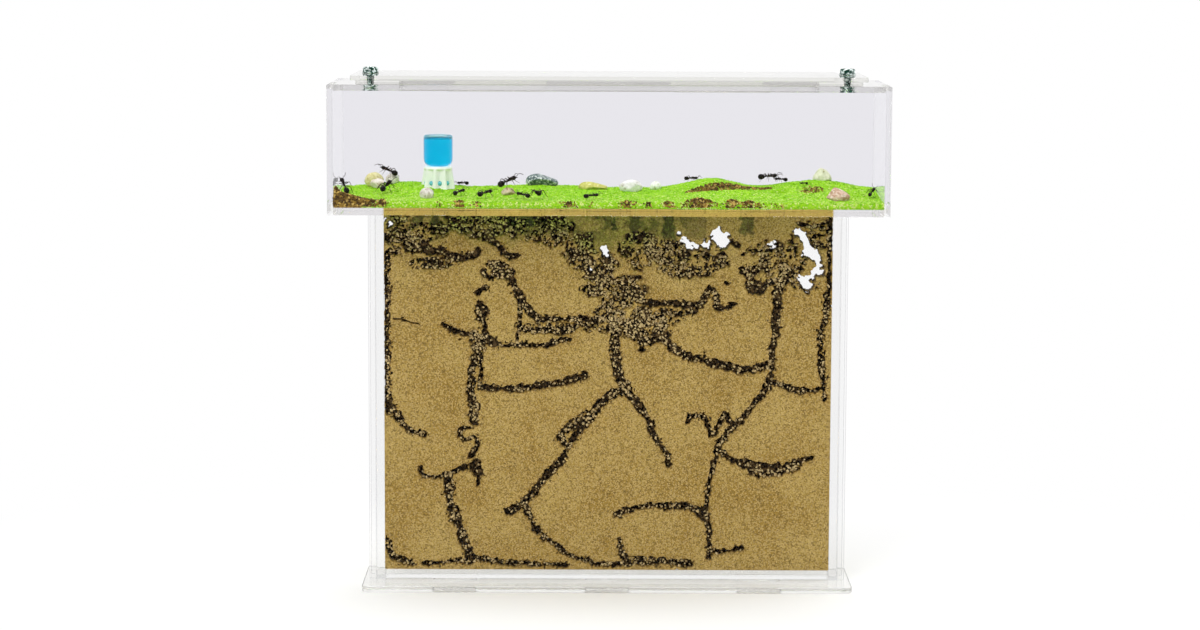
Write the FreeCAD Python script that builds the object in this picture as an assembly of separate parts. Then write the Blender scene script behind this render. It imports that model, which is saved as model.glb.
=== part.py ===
"""Ant habitat: a foraging arena box on an upright sand nest, on a flat base plate.

Millimetres.  The origin is the middle of the base plate's underside, +Z is up, X runs
along the habitat's width and -Y is its front.  Every physical piece is one node, written
to parts/NODE.step.
"""
import FreeCAD, Part
import math
import os

V = FreeCAD.Vector

# ------------------------------------------------------------------ driving sizes, mm
# Base plate: it reaches past the nest at both ends
BASE_REACH = 2.25
BASE_DEPTH = 44.0
BASE_SHEET = 2.5
BASE_CORNER = 3.0

# Nest: two clear sheets with a slab of sand between them, set back under the arena's ends
NEST_SETBACK = 15.0
NEST_HEIGHT = 155.7
NEST_SHEET = 2.5
SAND_DEPTH = 8.0
SPACER_WIDTH = 3.8
SPACER_INSET = 2.6
NEST_TAB_WIDTH = 18.0
NEST_TAB_PITCH = 64.0

# Arena box
ARENA_WIDTH = 230.0
ARENA_DEPTH = 60.0
ARENA_HEIGHT = 53.2
ARENA_SHEET = 2.5
FLOOR_SHEET = 3.0
FINGER_WIDTH = 39.2
FINGER_PITCH = 91.8
END_FINGER_WIDTH = 20.0
JOINT_PLAY = 0.05

# Swivelling lid, in from the arena's edges, the frame it lies on and the feeding opening
LID_END_INSET = 9.3
LID_SIDE_INSET = 4.0
LID_SHEET = 2.0
LID_CORNER = 1.5
LID_PLAY = 0.05
SEAT_SHEET = 1.5
SEAT_MARGIN = 2.0
OPENING_OFF_BOLT = 12.8
OPENING_OFF_LID_SIDE = 7.0
OPENING_CORNER = 5.0

# Lid bolts and nuts, in from the lid's ends
BOLT_INSET = 6.65
BOLT_DIAMETER = 3.0
BOLT_HOLE_PLAY = 0.05
LATCH_SLOT_PLAY = 0.25
HEAD_ACROSS_FLATS = 5.5
HEAD_HEIGHT = 2.0
HEAD_CHAMFER = 0.3
FLANGE_DIAMETER = 7.0
FLANGE_SHEET = 0.5
NUT_ACROSS_FLATS = 5.5
NUT_HEIGHT = 2.4
NUT_PLAY = 0.05
BOLT_TIP = 0.9

# Green sand in the arena: a gentle slope with a few hills on it
SAND_MEAN = 3.6
SAND_SLOPE = 0.035
ENTRANCE_DIAMETER = 3.6

# Drinking feeder: a fluted stand that carries an upturned vial
FEEDER_OFF_LEFT = 41.0
FEEDER_OFF_BACK = 15.5
STAND_SINK = 0.8
STAND_HEIGHT = 9.4
STAND_TOP_RADIUS = 5.9
STAND_FOOT_RADIUS = 7.5
STAND_DECK = 1.2
FLUTE_COUNT = 9
FLUTE_SHARE = 0.62
FLUTE_FLARE = 1.15
FLUTE_FOOT_RADIUS = 5.9
FLUTE_TOP_RADIUS = 5.0
WELL_RADIUS = 2.2
PORT_DIAMETER = 1.8
PORT_HEIGHT = 2.4
VIAL_RADIUS = 6.1
VIAL_HEIGHT = 13.1
VIAL_WALL = 0.8
VIAL_TOP = 1.6
VIAL_SHOULDER = 2.0
NECK_RADIUS = 3.2
NECK_LENGTH = 3.0
NECK_PLAY = 0.15
LIQUID_GAP = 1.4

# ------------------------------------------------------------------ derived places
nest_width = ARENA_WIDTH - 2 * NEST_SETBACK
base_width = nest_width + 2 * BASE_REACH
nest_bottom = BASE_SHEET
nest_top = nest_bottom + NEST_HEIGHT
nest_thickness = SAND_DEPTH + 2 * NEST_SHEET
sand_half_width = nest_width / 2 - SPACER_INSET - SPACER_WIDTH
floor_top = nest_top + FLOOR_SHEET
arena_top = nest_top + ARENA_HEIGHT
inner_width = ARENA_WIDTH - 2 * ARENA_SHEET
inner_depth = ARENA_DEPTH - 2 * ARENA_SHEET
roof_bottom = arena_top - ARENA_SHEET
seat_top = arena_top + SEAT_SHEET
lid_width = ARENA_WIDTH - 2 * LID_END_INSET
lid_depth = ARENA_DEPTH - 2 * LID_SIDE_INSET
lid_bottom = seat_top + LID_PLAY
lid_top = lid_bottom + LID_SHEET
bolt_radius = BOLT_DIAMETER / 2
bolt_pitch = lid_width - 2 * BOLT_INSET
pivot_x = -bolt_pitch / 2
latch_x = bolt_pitch / 2
nut_bottom = arena_top - NUT_HEIGHT
bolt_tip = min(nut_bottom, roof_bottom) - BOLT_TIP
opening_width = bolt_pitch - 2 * OPENING_OFF_BOLT
opening_depth = lid_depth - 2 * OPENING_OFF_LID_SIDE
feeder_x = -inner_width / 2 + FEEDER_OFF_LEFT
feeder_y = inner_depth / 2 - FEEDER_OFF_BACK

# Points along and across the green sand's surface
SURFACE_COLUMNS = 19
SURFACE_ROWS = 5

# Stones and soil heaps are faceted: the rings' latitudes in degrees, and the sides of a ring
STONE_RINGS = (-60, -22, 16, 52)
STONE_SIDES = 10

# A soil mound's rings: share of its length and depth, share of its height above the sand
MOUND_RINGS = ((0.85, -0.5), (1.0, -0.1), (0.80, 0.45), (0.40, 0.85))

# A place on the arena floor counts from an end wall's inner face, or from the middle, and then
# off the back wall's inner face, or with a minus sign off the front wall's
LEFT, MIDDLE, RIGHT = -1, 0, 1

# Hills of the green sand: end, place along, place off, height, half-width
SAND_HILLS = (
    (LEFT, 28.5, 13.5, 3.0, 17.0),
    (MIDDLE, -28.0, 11.5, 1.6, 14.0),
    (RIGHT, 69.5, 15.5, 5.6, 15.0),
    (RIGHT, 25.5, 13.5, 4.4, 19.0),
    (MIDDLE, 8.0, -15.5, 0.8, 12.0),
)

# Entrance holes through the green sand, above the galleries that reach up to it
ENTRANCES_X = (-72.0, 5.0, 71.0)

# Galleries in the nest sand: width, then the line that the ants dug, as (x, depth) points from
# the nest's middle and down from the arena floor's upper face
GALLERIES = {
    "left edge": (2.4, ((-92, 24), (-92, 83), (-88, 90), (-83, 96), (-77, 97))),
    "upper left hall": (4.0, ((-83, 17), (-70, 20), (-62, 22), (-54, 19))),
    "left trunk": (3.2, ((-53, 44), (-53, 51), (-56, 66), (-57, 83), (-56, 93),
                         (-60, 99), (-56, 102), (-57, 108), (-53, 118))),
    "left trunk spur": (3.0, ((-68, 51), (-64, 54), (-55, 58))),
    "upper branch": (2.6, ((-53, 53), (-45, 59), (-26, 59), (-17, 57))),
    "middle branch": (2.4, ((-57, 78), (-28, 77), (-10, 73))),
    "low left branch": (2.6, ((-78, 113), (-67, 114), (-57, 109))),
    "low left shaft": (4.0, ((-67, 114), (-66, 125), (-63, 136), (-59, 145), (-57, 151))),
    "bottom left run": (2.2, ((-75, 152), (-57, 151), (-16, 152))),
    "bottom left corner": (2.4, ((-92, 143), (-89, 149), (-82, 153))),
    "centre left run": (2.8, ((-40, 30), (-37, 41), (-32, 47), (-26, 49), (2, 48))),
    "centre trunk": (3.4, ((2, 48), (3, 66), (7, 79), (13, 85), (20, 96), (25, 104), (25, 110))),
    "long diagonal": (3.2, ((6, 78), (-3, 84), (-10, 88), (-16, 96), (-25, 115),
                            (-34, 128), (-41, 131))),
    "diagonal tail": (2.2, ((-34, 128), (-30, 136), (-24, 142), (-14, 149), (-3, 152), (5, 153))),
    "right sweep": (3.0, ((2, 48), (13, 55), (24, 57), (34, 62), (43, 66), (55, 69), (68, 70))),
    "short level run": (3.0, ((13, 43), (26, 42), (38, 43))),
    "arch": (2.6, ((38, 43), (42, 36), (45, 40), (53, 42))),
    "right trunk": (3.2, ((71, 36), (70, 53), (69, 70), (65, 77), (57, 87), (51, 95),
                          (47, 102), (44, 113), (43, 125), (43, 150))),
    "right link": (2.4, ((69, 70), (76, 76), (82, 79), (91, 79))),
    "right edge": (2.2, ((91, 15), (90.5, 47), (91, 79))),
    "squiggle": (2.4, ((34, 89), (39, 89), (42, 93), (45, 95), (48, 91), (53, 91))),
    "right crescent": (4.0, ((46, 105), (57, 110), (67, 112), (78, 111), (87, 108))),
    "low centre run": (2.6, ((4, 131), (13, 128), (26, 127), (36, 129), (43, 133))),
    "foot of trunk": (2.6, ((43, 146), (49, 146), (57, 146))),
    "low stub": (2.8, ((5, 142), (6.5, 147), (7, 151))),
    "bottom right run": (2.2, ((-3, 152), (16, 152.5), (34, 152))),
    "left link": (3.0, ((-54, 19), (-45, 24), (-40, 30))),
    "right link above": (3.0, ((4, 23), (20, 29), (42, 36))),
}

# Shafts from the entrances into the nest, and places dug right through to the back sheet
SHAFTS = {
    "left shaft": (3.0, ((-72, -3), (-71, 11), (-70, 20))),
    "centre shaft": (3.6, ((5, -3), (4, 21), (2, 48))),
    "right shaft": (3.4, ((71, -3), (72, 16), (71, 36))),
}
WINDOWS = {
    "small window": (4.0, ((32, 13), (35, 13.5), (37, 15))),
    "middle window": (5.5, ((45, 12), (48, 13), (50, 16))),
    "tall window": (6.5, ((81, 15), (84, 23), (82, 31))),
}
GALLERY_DEPTH = 5.0
SHAFT_DEPTH = 6.5
DIG_MARGIN = 1.0

# Pebbles: end, place along, place off, (length, depth, height), turn about Z in degrees,
# share sunk in the sand
PEBBLES = {
    "pebble_yellow": (LEFT, 13.5, 8.5, (9.0, 7.5, 7.0), 20, 0.20),
    "pebble_rose_white": (LEFT, 15.4, 18.5, (6.2, 5.0, 4.8), 0, 0.20),
    "pebble_white": (LEFT, 21.5, 12.5, (6.4, 5.2, 5.6), 35, 0.18),
    "pebble_by_feeder": (LEFT, 37.5, -12.5, (6.2, 5.2, 5.4), 10, 0.22),
    "pebble_beige": (MIDDLE, -41.7, 32.5, (6.4, 5.0, 4.4), 15, 0.24),
    "pebble_dark_flat": (MIDDLE, -28.0, 7.5, (14.4, 9.0, 5.8), -6, 0.16),
    "pebble_olive": (MIDDLE, -6.5, 9.5, (13.0, 8.0, 4.4), 4, 0.28),
    "pebble_round_white": (MIDDLE, 9.5, 14.5, (10.6, 8.0, 6.2), -12, 0.24),
    "pebble_small_pale": (MIDDLE, 20.0, 10.5, (5.2, 4.6, 4.2), 0, 0.24),
    "pebble_pale_green": (RIGHT, 22.0, 7.5, (8.6, 7.0, 6.6), 12, 0.18),
    "pebble_pink_brown": (RIGHT, 18.0, -10.5, (10.2, 7.4, 6.6), -8, 0.24),
}

# Mounds of brown soil on the green sand: end, place along, place off, (length, depth, height
# above the sand), turn
HEAPS = {
    "spoil_heap_left": (LEFT, 8.5, -7.5, (26.0, 18.0, 3.4), 0),
    "spoil_heap_centre": (RIGHT, 64.5, 22.5, (44.0, 7.5, 1.2), 4),
    "spoil_heap_right": (RIGHT, 26.5, 30.5, (12.0, 6.5, 1.1), -10),
}

nodes = {}


# ------------------------------------------------------------------ building helpers
def block(x0, x1, y0, y1, z0, z1):
    """A box between two opposite corners."""
    return Part.makeBox(x1 - x0, y1 - y0, z1 - z0, V(x0, y0, z0))


def centred_block(width, depth, z0, z1, x=0.0, y=0.0):
    """A box of the given plan size, centred on (x, y)."""
    return block(x - width / 2, x + width / 2, y - depth / 2, y + depth / 2, z0, z1)


def rod(radius, x, y, z0, z1):
    """An upright cylinder."""
    return Part.makeCylinder(radius, z1 - z0, V(x, y, z0))


def round_uprights(shape, radius):
    """Round the upright edges of a plate."""
    edges = [e for e in shape.Edges if abs(e.tangentAt(e.FirstParameter).z) > 0.99]
    return shape.makeFillet(radius, edges)


def rounded_plate(width, depth, z0, z1, corner):
    """A plate with rounded plan corners, centred on the origin."""
    return round_uprights(centred_block(width, depth, z0, z1), corner)


def hexagon(across_flats, x, y, z0, z1):
    """A hexagonal prism."""
    corner_radius = across_flats / math.sqrt(3)
    corners = []
    for i in range(7):
        angle = math.radians(60 * i + 30)
        corners.append(V(x + corner_radius * math.cos(angle), y + corner_radius * math.sin(angle), z0))
    return Part.Face(Part.makePolygon(corners)).extrude(V(0, 0, z1 - z0))


def revolved(profile):
    """A solid turned about the Z axis, from (radius, height) points."""
    points = [V(r, 0, h) for r, h in profile]
    face = Part.Face(Part.makePolygon(points + points[:1]))
    return face.revolve(V(0, 0, 0), V(0, 0, 1), 360)


def ring_of_points(across, rise, size, half_steps):
    """Points round an ellipse that is `across` of the full size, at a height above its middle.
    Every half step turns the ring on by half of one side."""
    ring = []
    for i in range(STONE_SIDES):
        angle = 2 * math.pi * (i + half_steps / 2) / STONE_SIDES
        ring.append(V(across * size[0] / 2 * math.cos(angle), across * size[1] / 2 * math.sin(angle), rise))
    return ring


def faceted_solid(foot, rings, crown):
    """A closed solid of triangles from a foot point, through rings of points, to a crown point."""
    triangles = []
    for i in range(STONE_SIDES):
        j = (i + 1) % STONE_SIDES
        triangles.append((foot, rings[0][j], rings[0][i]))
        triangles.append((crown, rings[-1][i], rings[-1][j]))
        for low, high in zip(rings, rings[1:]):
            triangles.append((low[i], low[j], high[i]))
            triangles.append((low[j], high[j], high[i]))
    faces = [Part.Face(Part.makePolygon([a, b, c, a])) for a, b, c in triangles]
    return Part.makeSolid(Part.makeShell(faces))


def worn_stone(x, y, z, size, turn):
    """A worn stone with flat facets, from rings of points on an ellipsoid."""
    rings = []
    for level, latitude in enumerate(STONE_RINGS):
        across = math.cos(math.radians(latitude))
        rise = math.sin(math.radians(latitude)) * size[2] / 2
        rings.append(ring_of_points(across, rise, size, level))
    stone = faceted_solid(V(0, 0, -size[2] / 2), rings, V(0, 0, size[2] / 2))
    stone.rotate(V(0, 0, 0), V(0, 0, 1), turn)
    stone.translate(V(x, y, z))
    return stone


def soil_mound(x, y, size, turn):
    """A low mound whose points all follow the sand under it, down to a little below the sand."""
    rings = []
    for level, (across, share) in enumerate(MOUND_RINGS):
        rings.append(ring_of_points(across, share * size[2], size, level))
    foot = V(0, 0, MOUND_RINGS[0][1] * size[2])
    crown = V(0, 0, size[2])
    turned = FreeCAD.Rotation(V(0, 0, 1), turn)

    def draped(point):
        """The point turned to the mound's direction and set on the sand."""
        across = turned.multVec(point) + V(x, y, 0)
        return across + V(0, 0, floor_top + sand_height(across.x, across.y))

    rings = [[draped(point) for point in ring] for ring in rings]
    return faceted_solid(draped(foot), rings, draped(crown))


# ------------------------------------------------------------------ base and nest
def nest_tab_places():
    """The middles of the tabs along a nest sheet's top and bottom edge."""
    return (-NEST_TAB_PITCH, 0.0, NEST_TAB_PITCH)


def nest_sheet(side):
    """One clear sheet: side is -1 for the front and +1 for the back."""
    inner = side * SAND_DEPTH / 2
    outer = side * nest_thickness / 2
    y0, y1 = sorted((inner, outer))
    sheet = block(-nest_width / 2, nest_width / 2, y0, y1, nest_bottom, nest_top)
    tabs = []
    for x in nest_tab_places():
        left = x - NEST_TAB_WIDTH / 2
        right = x + NEST_TAB_WIDTH / 2
        tabs.append(block(left, right, y0, y1, 0.0, nest_bottom))
        tabs.append(block(left, right, y0, y1, nest_top, floor_top))
    return sheet.fuse(tabs).removeSplitter()


def nest_tab_slots(z0, z1):
    """Slots that the nest sheets' tabs pass through, with the joint's play all round."""
    slots = []
    for side in (-1, 1):
        y = side * (SAND_DEPTH + NEST_SHEET) / 2
        for x in nest_tab_places():
            width = NEST_TAB_WIDTH + 2 * JOINT_PLAY
            slots.append(centred_block(width, NEST_SHEET + 2 * JOINT_PLAY, z0, z1, x, y))
    return slots


def build_base():
    plate = rounded_plate(base_width, BASE_DEPTH, 0.0, BASE_SHEET, BASE_CORNER)
    nodes["base_plate"] = plate.cut(nest_tab_slots(0.0, BASE_SHEET))


def build_nest_frame():
    nodes["nest_front_plate"] = nest_sheet(-1)
    nodes["nest_back_plate"] = nest_sheet(1)
    half = SAND_DEPTH / 2
    inner = sand_half_width
    outer = sand_half_width + SPACER_WIDTH
    nodes["nest_left_spacer"] = block(-outer, -inner, -half, half, nest_bottom, nest_top)
    nodes["nest_right_spacer"] = block(inner, outer, -half, half, nest_bottom, nest_top)
    spacer_top = nest_bottom + SPACER_WIDTH
    nodes["nest_bottom_spacer"] = block(-inner, inner, -half, half, nest_bottom, spacer_top)


def dug_run(width, line, y0, depth):
    """A gallery of one width along a line of (x, depth) points, dug from y0 along +Y."""
    points = [V(x, y0, floor_top - down) for x, down in line]
    path = Part.makePolygon(points)
    outline = path.makeOffset2D(width / 2, 0, False, False, False)
    return Part.Face(outline).extrude(V(0, depth, 0))


def build_nest_sand():
    """The slab of sand, up to the arena floor, less every gallery, shaft and window."""
    half = SAND_DEPTH / 2
    low = nest_bottom + SPACER_WIDTH
    slab = block(-sand_half_width, sand_half_width, -half, half, low, floor_top)
    start = -half - DIG_MARGIN
    runs = []
    for width, line in GALLERIES.values():
        runs.append(dug_run(width, line, start, GALLERY_DEPTH + DIG_MARGIN))
    for width, line in SHAFTS.values():
        runs.append(dug_run(width, line, start, SHAFT_DEPTH + DIG_MARGIN))
    for width, line in WINDOWS.values():
        runs.append(dug_run(width, line, start, SAND_DEPTH + 2 * DIG_MARGIN))
    dug = runs[0].multiFuse(runs[1:])
    carved = slab.cut(dug)
    nodes["nest_sand"] = max(carved.Solids, key=lambda solid: solid.Volume)


# ------------------------------------------------------------------ arena box
def finger_places():
    return (-FINGER_PITCH / 2, FINGER_PITCH / 2)


def flat_sheet_with_fingers(z0, z1):
    """A level sheet inside the four walls, with fingers that reach their outer faces."""
    sheet = centred_block(inner_width, inner_depth, z0, z1)
    fingers = []
    for x in finger_places():
        fingers.append(centred_block(FINGER_WIDTH, ARENA_DEPTH, z0, z1, x))
    fingers.append(centred_block(ARENA_WIDTH, END_FINGER_WIDTH, z0, z1))
    return sheet.fuse(fingers).removeSplitter()


def finger_notches():
    """The notches in the walls for the fingers of the floor and of the top plate."""
    notches = []
    for z0, z1 in ((nest_top, floor_top + JOINT_PLAY), (roof_bottom - JOINT_PLAY, arena_top)):
        for x in finger_places():
            width = FINGER_WIDTH + 2 * JOINT_PLAY
            notches.append(centred_block(width, ARENA_DEPTH, z0, z1, x))
        end_width = END_FINGER_WIDTH + 2 * JOINT_PLAY
        notches.append(centred_block(ARENA_WIDTH, end_width, z0, z1))
    return notches


def build_arena_floor():
    floor = flat_sheet_with_fingers(nest_top, floor_top)
    slot = centred_block(2 * sand_half_width, SAND_DEPTH, nest_top, floor_top)
    nodes["arena_floor"] = floor.cut([slot] + nest_tab_slots(nest_top, floor_top))


def build_arena_walls():
    """Front and back walls run the full width; the end walls stand between them."""
    notches = finger_notches()
    half_depth = ARENA_DEPTH / 2
    half_width = ARENA_WIDTH / 2
    full = (-half_width, half_width)
    between = (-inner_depth / 2, inner_depth / 2)
    front = block(*full, -half_depth, between[0], nest_top, arena_top)
    back = block(*full, between[1], half_depth, nest_top, arena_top)
    left = block(-half_width, -inner_width / 2, *between, nest_top, arena_top)
    right = block(inner_width / 2, half_width, *between, nest_top, arena_top)
    walls = {"front": front, "back": back, "left": left, "right": right}
    for name, wall in walls.items():
        nodes["arena_" + name + "_wall"] = wall.cut(notches)


def service_opening(z0, z1):
    return rounded_plate(opening_width, opening_depth, z0, z1, OPENING_CORNER)


def bolt_holes(radius, z0, z1):
    return [rod(radius, x, 0.0, z0, z1) for x in (pivot_x, latch_x)]


def build_roof():
    """Top plate with the feeding opening and a six-sided pocket for each nut, and the frame on
    it that the lid lies on."""
    plate = flat_sheet_with_fingers(roof_bottom, arena_top)
    cuts = [service_opening(roof_bottom, arena_top)]
    for x in (pivot_x, latch_x):
        cuts.append(hexagon(NUT_ACROSS_FLATS + 2 * NUT_PLAY, x, 0.0, roof_bottom, arena_top))
    nodes["arena_top_plate"] = plate.cut(cuts)

    seat_width = lid_width - 2 * SEAT_MARGIN
    seat_depth = lid_depth - 2 * SEAT_MARGIN
    seat = rounded_plate(seat_width, seat_depth, arena_top, seat_top, LID_CORNER)
    hole_radius = bolt_radius + BOLT_HOLE_PLAY
    cuts = [service_opening(arena_top, seat_top)] + bolt_holes(hole_radius, arena_top, seat_top)
    nodes["lid_seat_frame"] = seat.cut(cuts)


# ------------------------------------------------------------------ lid and its bolts
def latch_slot():
    """A slot along the arc that the latch bolt follows, open at the lid's back edge."""
    reach = bolt_radius + LATCH_SLOT_PLAY
    ring = rod(bolt_pitch + reach, pivot_x, 0.0, lid_bottom, lid_top)
    ring = ring.cut(rod(bolt_pitch - reach, pivot_x, 0.0, lid_bottom, lid_top))
    window = block(latch_x - lid_depth, latch_x + lid_depth, 0.0, lid_depth, lid_bottom, lid_top)
    return ring.common(window).fuse(rod(reach, latch_x, 0.0, lid_bottom, lid_top))


def build_lid():
    lid = rounded_plate(lid_width, lid_depth, lid_bottom, lid_top, LID_CORNER)
    pivot_hole = rod(bolt_radius + BOLT_HOLE_PLAY, pivot_x, 0.0, lid_bottom, lid_top)
    nodes["arena_lid"] = lid.cut([pivot_hole, latch_slot()])


def lid_bolt(x):
    """A hexagon bolt with a round flange under its head, the crown chamfered by a cone, through
    lid, frame and roof."""
    flange_bottom = lid_top + LID_PLAY
    head_bottom = flange_bottom + FLANGE_SHEET
    head_top = head_bottom + HEAD_HEIGHT
    head = hexagon(HEAD_ACROSS_FLATS, x, 0.0, head_bottom, head_top)
    crown_radius = HEAD_ACROSS_FLATS / 2
    cone_height = HEAD_HEIGHT * 3
    cone_foot = crown_radius + cone_height * HEAD_CHAMFER / HEAD_HEIGHT * 2
    crown = Part.makeCone(cone_foot, crown_radius, cone_height, V(x, 0, head_top - cone_height))
    flange = rod(FLANGE_DIAMETER / 2, x, 0.0, flange_bottom, head_bottom)
    shank = rod(bolt_radius, x, 0.0, bolt_tip, flange_bottom)
    return head.common(crown).fuse([flange, shank])


def lid_nut(x):
    """A hexagon nut let into the roof from below, tight against the frame above it."""
    nut = hexagon(NUT_ACROSS_FLATS, x, 0.0, nut_bottom, arena_top)
    return nut.cut(rod(bolt_radius, x, 0.0, nut_bottom, arena_top))


def build_bolts():
    for name, x in (("pivot", pivot_x), ("latch", latch_x)):
        nodes[name + "_bolt"] = lid_bolt(x)
        nodes[name + "_nut"] = lid_nut(x)


# ------------------------------------------------------------------ arena filling
def place_on_floor(end, along, off):
    """X and Y of a place counted from an end wall or the middle, and from the back or front wall."""
    x = end * (inner_width / 2 - along) if end else along
    side = math.copysign(inner_depth / 2, off)
    return x, side - off


def sand_height(x, y):
    """Depth of green sand above the floor: a mean, a slope along Y and round hills."""
    height = SAND_MEAN + SAND_SLOPE * y
    for end, along, off, rise, spread in SAND_HILLS:
        hill_x, hill_y = place_on_floor(end, along, off)
        distance = ((x - hill_x) / spread) ** 2 + ((y - hill_y) / spread) ** 2
        height += rise * math.exp(-distance)
    return height


def sand_body():
    """The green sand between the arena walls, under a smooth surface through the heights."""
    reach = 1.05
    grid = []
    for i in range(SURFACE_COLUMNS):
        x = (i / (SURFACE_COLUMNS - 1) - 0.5) * inner_width * reach
        line = []
        for j in range(SURFACE_ROWS):
            y = (j / (SURFACE_ROWS - 1) - 0.5) * inner_depth * reach
            line.append(V(x, y, floor_top + sand_height(x, y)))
        grid.append(line)
    surface = Part.BSplineSurface()
    surface.interpolate(grid)
    below = surface.toShape().extrude(V(0, 0, -ARENA_HEIGHT / 2))
    room = centred_block(inner_width, inner_depth, floor_top, arena_top)
    return below.common(room)


def entrance_holes():
    """Round holes through the green sand, over the shafts in the nest."""
    radius = ENTRANCE_DIAMETER / 2
    return [rod(radius, x, 0.0, floor_top, arena_top) for x in ENTRANCES_X]


def cut_in_turn(shape, tools):
    """Takes the tools off the shape one after another, and keeps the largest solid."""
    for tool in tools:
        shape = shape.cut(tool)
    return max(shape.Solids, key=lambda solid: solid.Volume)


def build_arena_filling():
    """Pebbles and soil heaps lie pressed into the green sand, which makes room for them."""
    stones = {}
    for name, (end, along, off, size, turn, sunk) in PEBBLES.items():
        x, y = place_on_floor(end, along, off)
        z = floor_top + sand_height(x, y) + size[2] * (0.5 - sunk)
        stones[name] = worn_stone(x, y, z, size, turn)
    holes = entrance_holes()
    room = centred_block(inner_width, inner_depth, floor_top, arena_top)
    heaps = {}
    for name, (end, along, off, size, turn) in HEAPS.items():
        x, y = place_on_floor(end, along, off)
        heap = soil_mound(x, y, size, turn).common(room)
        heaps[name] = cut_in_turn(heap, list(stones.values()) + holes)
    footprint = rod(STAND_FOOT_RADIUS, feeder_x, feeder_y, feeder_bottom(), arena_top)
    pressed_in = [footprint] + holes + list(heaps.values()) + list(stones.values())
    nodes.update(stones)
    nodes.update(heaps)
    nodes["arena_sand"] = cut_in_turn(sand_body(), pressed_in)


# ------------------------------------------------------------------ drinking feeder
def feeder_bottom():
    """Height of the stand's foot, pressed a little into the sand."""
    return floor_top + sand_height(feeder_x, feeder_y) - STAND_SINK


def on_feeder(shape, z):
    """Moves a shape made about the origin to the feeder's axis, at height z."""
    return shape.translated(V(feeder_x, feeder_y, z))


def fluted_section(rib_radius, flute_radius, z):
    """A closed outline at height z: ribs that reach rib_radius, with flat flutes between them."""
    half_flute = FLUTE_SHARE / 2
    half_mouth = half_flute * FLUTE_FLARE
    corners = ((flute_radius, -half_flute), (flute_radius, half_flute),
               (rib_radius, half_mouth), (rib_radius, 1 - half_mouth))
    points = []
    for i in range(FLUTE_COUNT):
        for radius, share in corners:
            angle = 2 * math.pi * (i + share) / FLUTE_COUNT
            points.append(V(radius * math.cos(angle), radius * math.sin(angle), z))
    return Part.makePolygon(points + points[:1])


def port(index):
    """A six-sided port from the well out into the middle of a flute."""
    corners = []
    for i in range(7):
        angle = math.radians(60 * i)
        rise = PORT_HEIGHT + PORT_DIAMETER / 2 * math.sin(angle)
        corners.append(V(0, PORT_DIAMETER / 2 * math.cos(angle), rise))
    drill = Part.Face(Part.makePolygon(corners)).extrude(V(STAND_FOOT_RADIUS, 0, 0))
    return drill.rotated(V(0, 0, 0), V(0, 0, 1), 360 * index / FLUTE_COUNT)


def build_feeder_stand():
    """A flared stand with flutes between its ribs, a round deck, the vial's socket and ports."""
    deck = STAND_HEIGHT - STAND_DECK
    foot = fluted_section(STAND_FOOT_RADIUS, FLUTE_FOOT_RADIUS, 0)
    head = fluted_section(STAND_TOP_RADIUS, FLUTE_TOP_RADIUS, deck)
    body = Part.makeLoft([foot, head], True, True)
    top = rod(STAND_TOP_RADIUS, 0, 0, deck, STAND_HEIGHT)
    socket_radius = NECK_RADIUS + NECK_PLAY
    socket = rod(socket_radius, 0, 0, STAND_HEIGHT - NECK_LENGTH - NECK_PLAY, STAND_HEIGHT)
    well = rod(WELL_RADIUS, 0, 0, PORT_HEIGHT - PORT_DIAMETER / 2, STAND_HEIGHT)
    ports = [port(i) for i in range(FLUTE_COUNT)]
    stand = body.fuse(top).cut([socket, well] + ports)
    nodes["feeder_stand"] = on_feeder(stand, feeder_bottom())


def vial_form(inset, top):
    """The upturned vial's outer form, or moved inwards by a wall, the room inside it."""
    body = VIAL_RADIUS - inset
    neck = NECK_RADIUS - inset
    foot = VIAL_RADIUS - VIAL_SHOULDER - inset / 2
    return revolved(((0, -NECK_LENGTH), (neck, -NECK_LENGTH), (neck, inset), (foot, inset),
                     (body, VIAL_SHOULDER + inset / 2), (body, top), (0, top)))


def build_feeder_vial():
    """The upturned vial with its neck in the stand's socket, and the liquid inside it."""
    seat = feeder_bottom() + STAND_HEIGHT + LID_PLAY
    outer = vial_form(0.0, VIAL_HEIGHT)
    inner = vial_form(VIAL_WALL, VIAL_HEIGHT - VIAL_TOP)
    level = VIAL_HEIGHT - VIAL_TOP - LIQUID_GAP
    liquid = inner.common(rod(VIAL_RADIUS, 0, 0, -NECK_LENGTH, level))
    nodes["feeder_vial"] = on_feeder(outer.cut(inner), seat)
    nodes["feeder_liquid"] = on_feeder(liquid, seat)


# ------------------------------------------------------------------ make every node
def build_all():
    build_base()
    build_nest_frame()
    build_nest_sand()
    build_arena_floor()
    build_arena_walls()
    build_roof()
    build_lid()
    build_bolts()
    build_arena_filling()
    build_feeder_stand()
    build_feeder_vial()


def export_all():
    os.makedirs("parts", exist_ok=True)
    for name, shape in nodes.items():
        shape.exportStep("parts/" + name + ".step")
        print(name, len(shape.Solids), round(shape.Volume, 1), shape.isValid())


build_all()
export_all()
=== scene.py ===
"""Ant habitat: looks of the clear box on its upright sand nest, in metres.

Shapes are worked out in millimetres and turned to metres when a mesh is made.  X runs along
the width, -Y is the front and +Z is up, with the origin under the middle of the base plate.
"""
import math

import bmesh
import bpy
import numpy as np
from mathutils import Matrix, Vector
from mathutils.geometry import delaunay_2d_cdt


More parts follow.
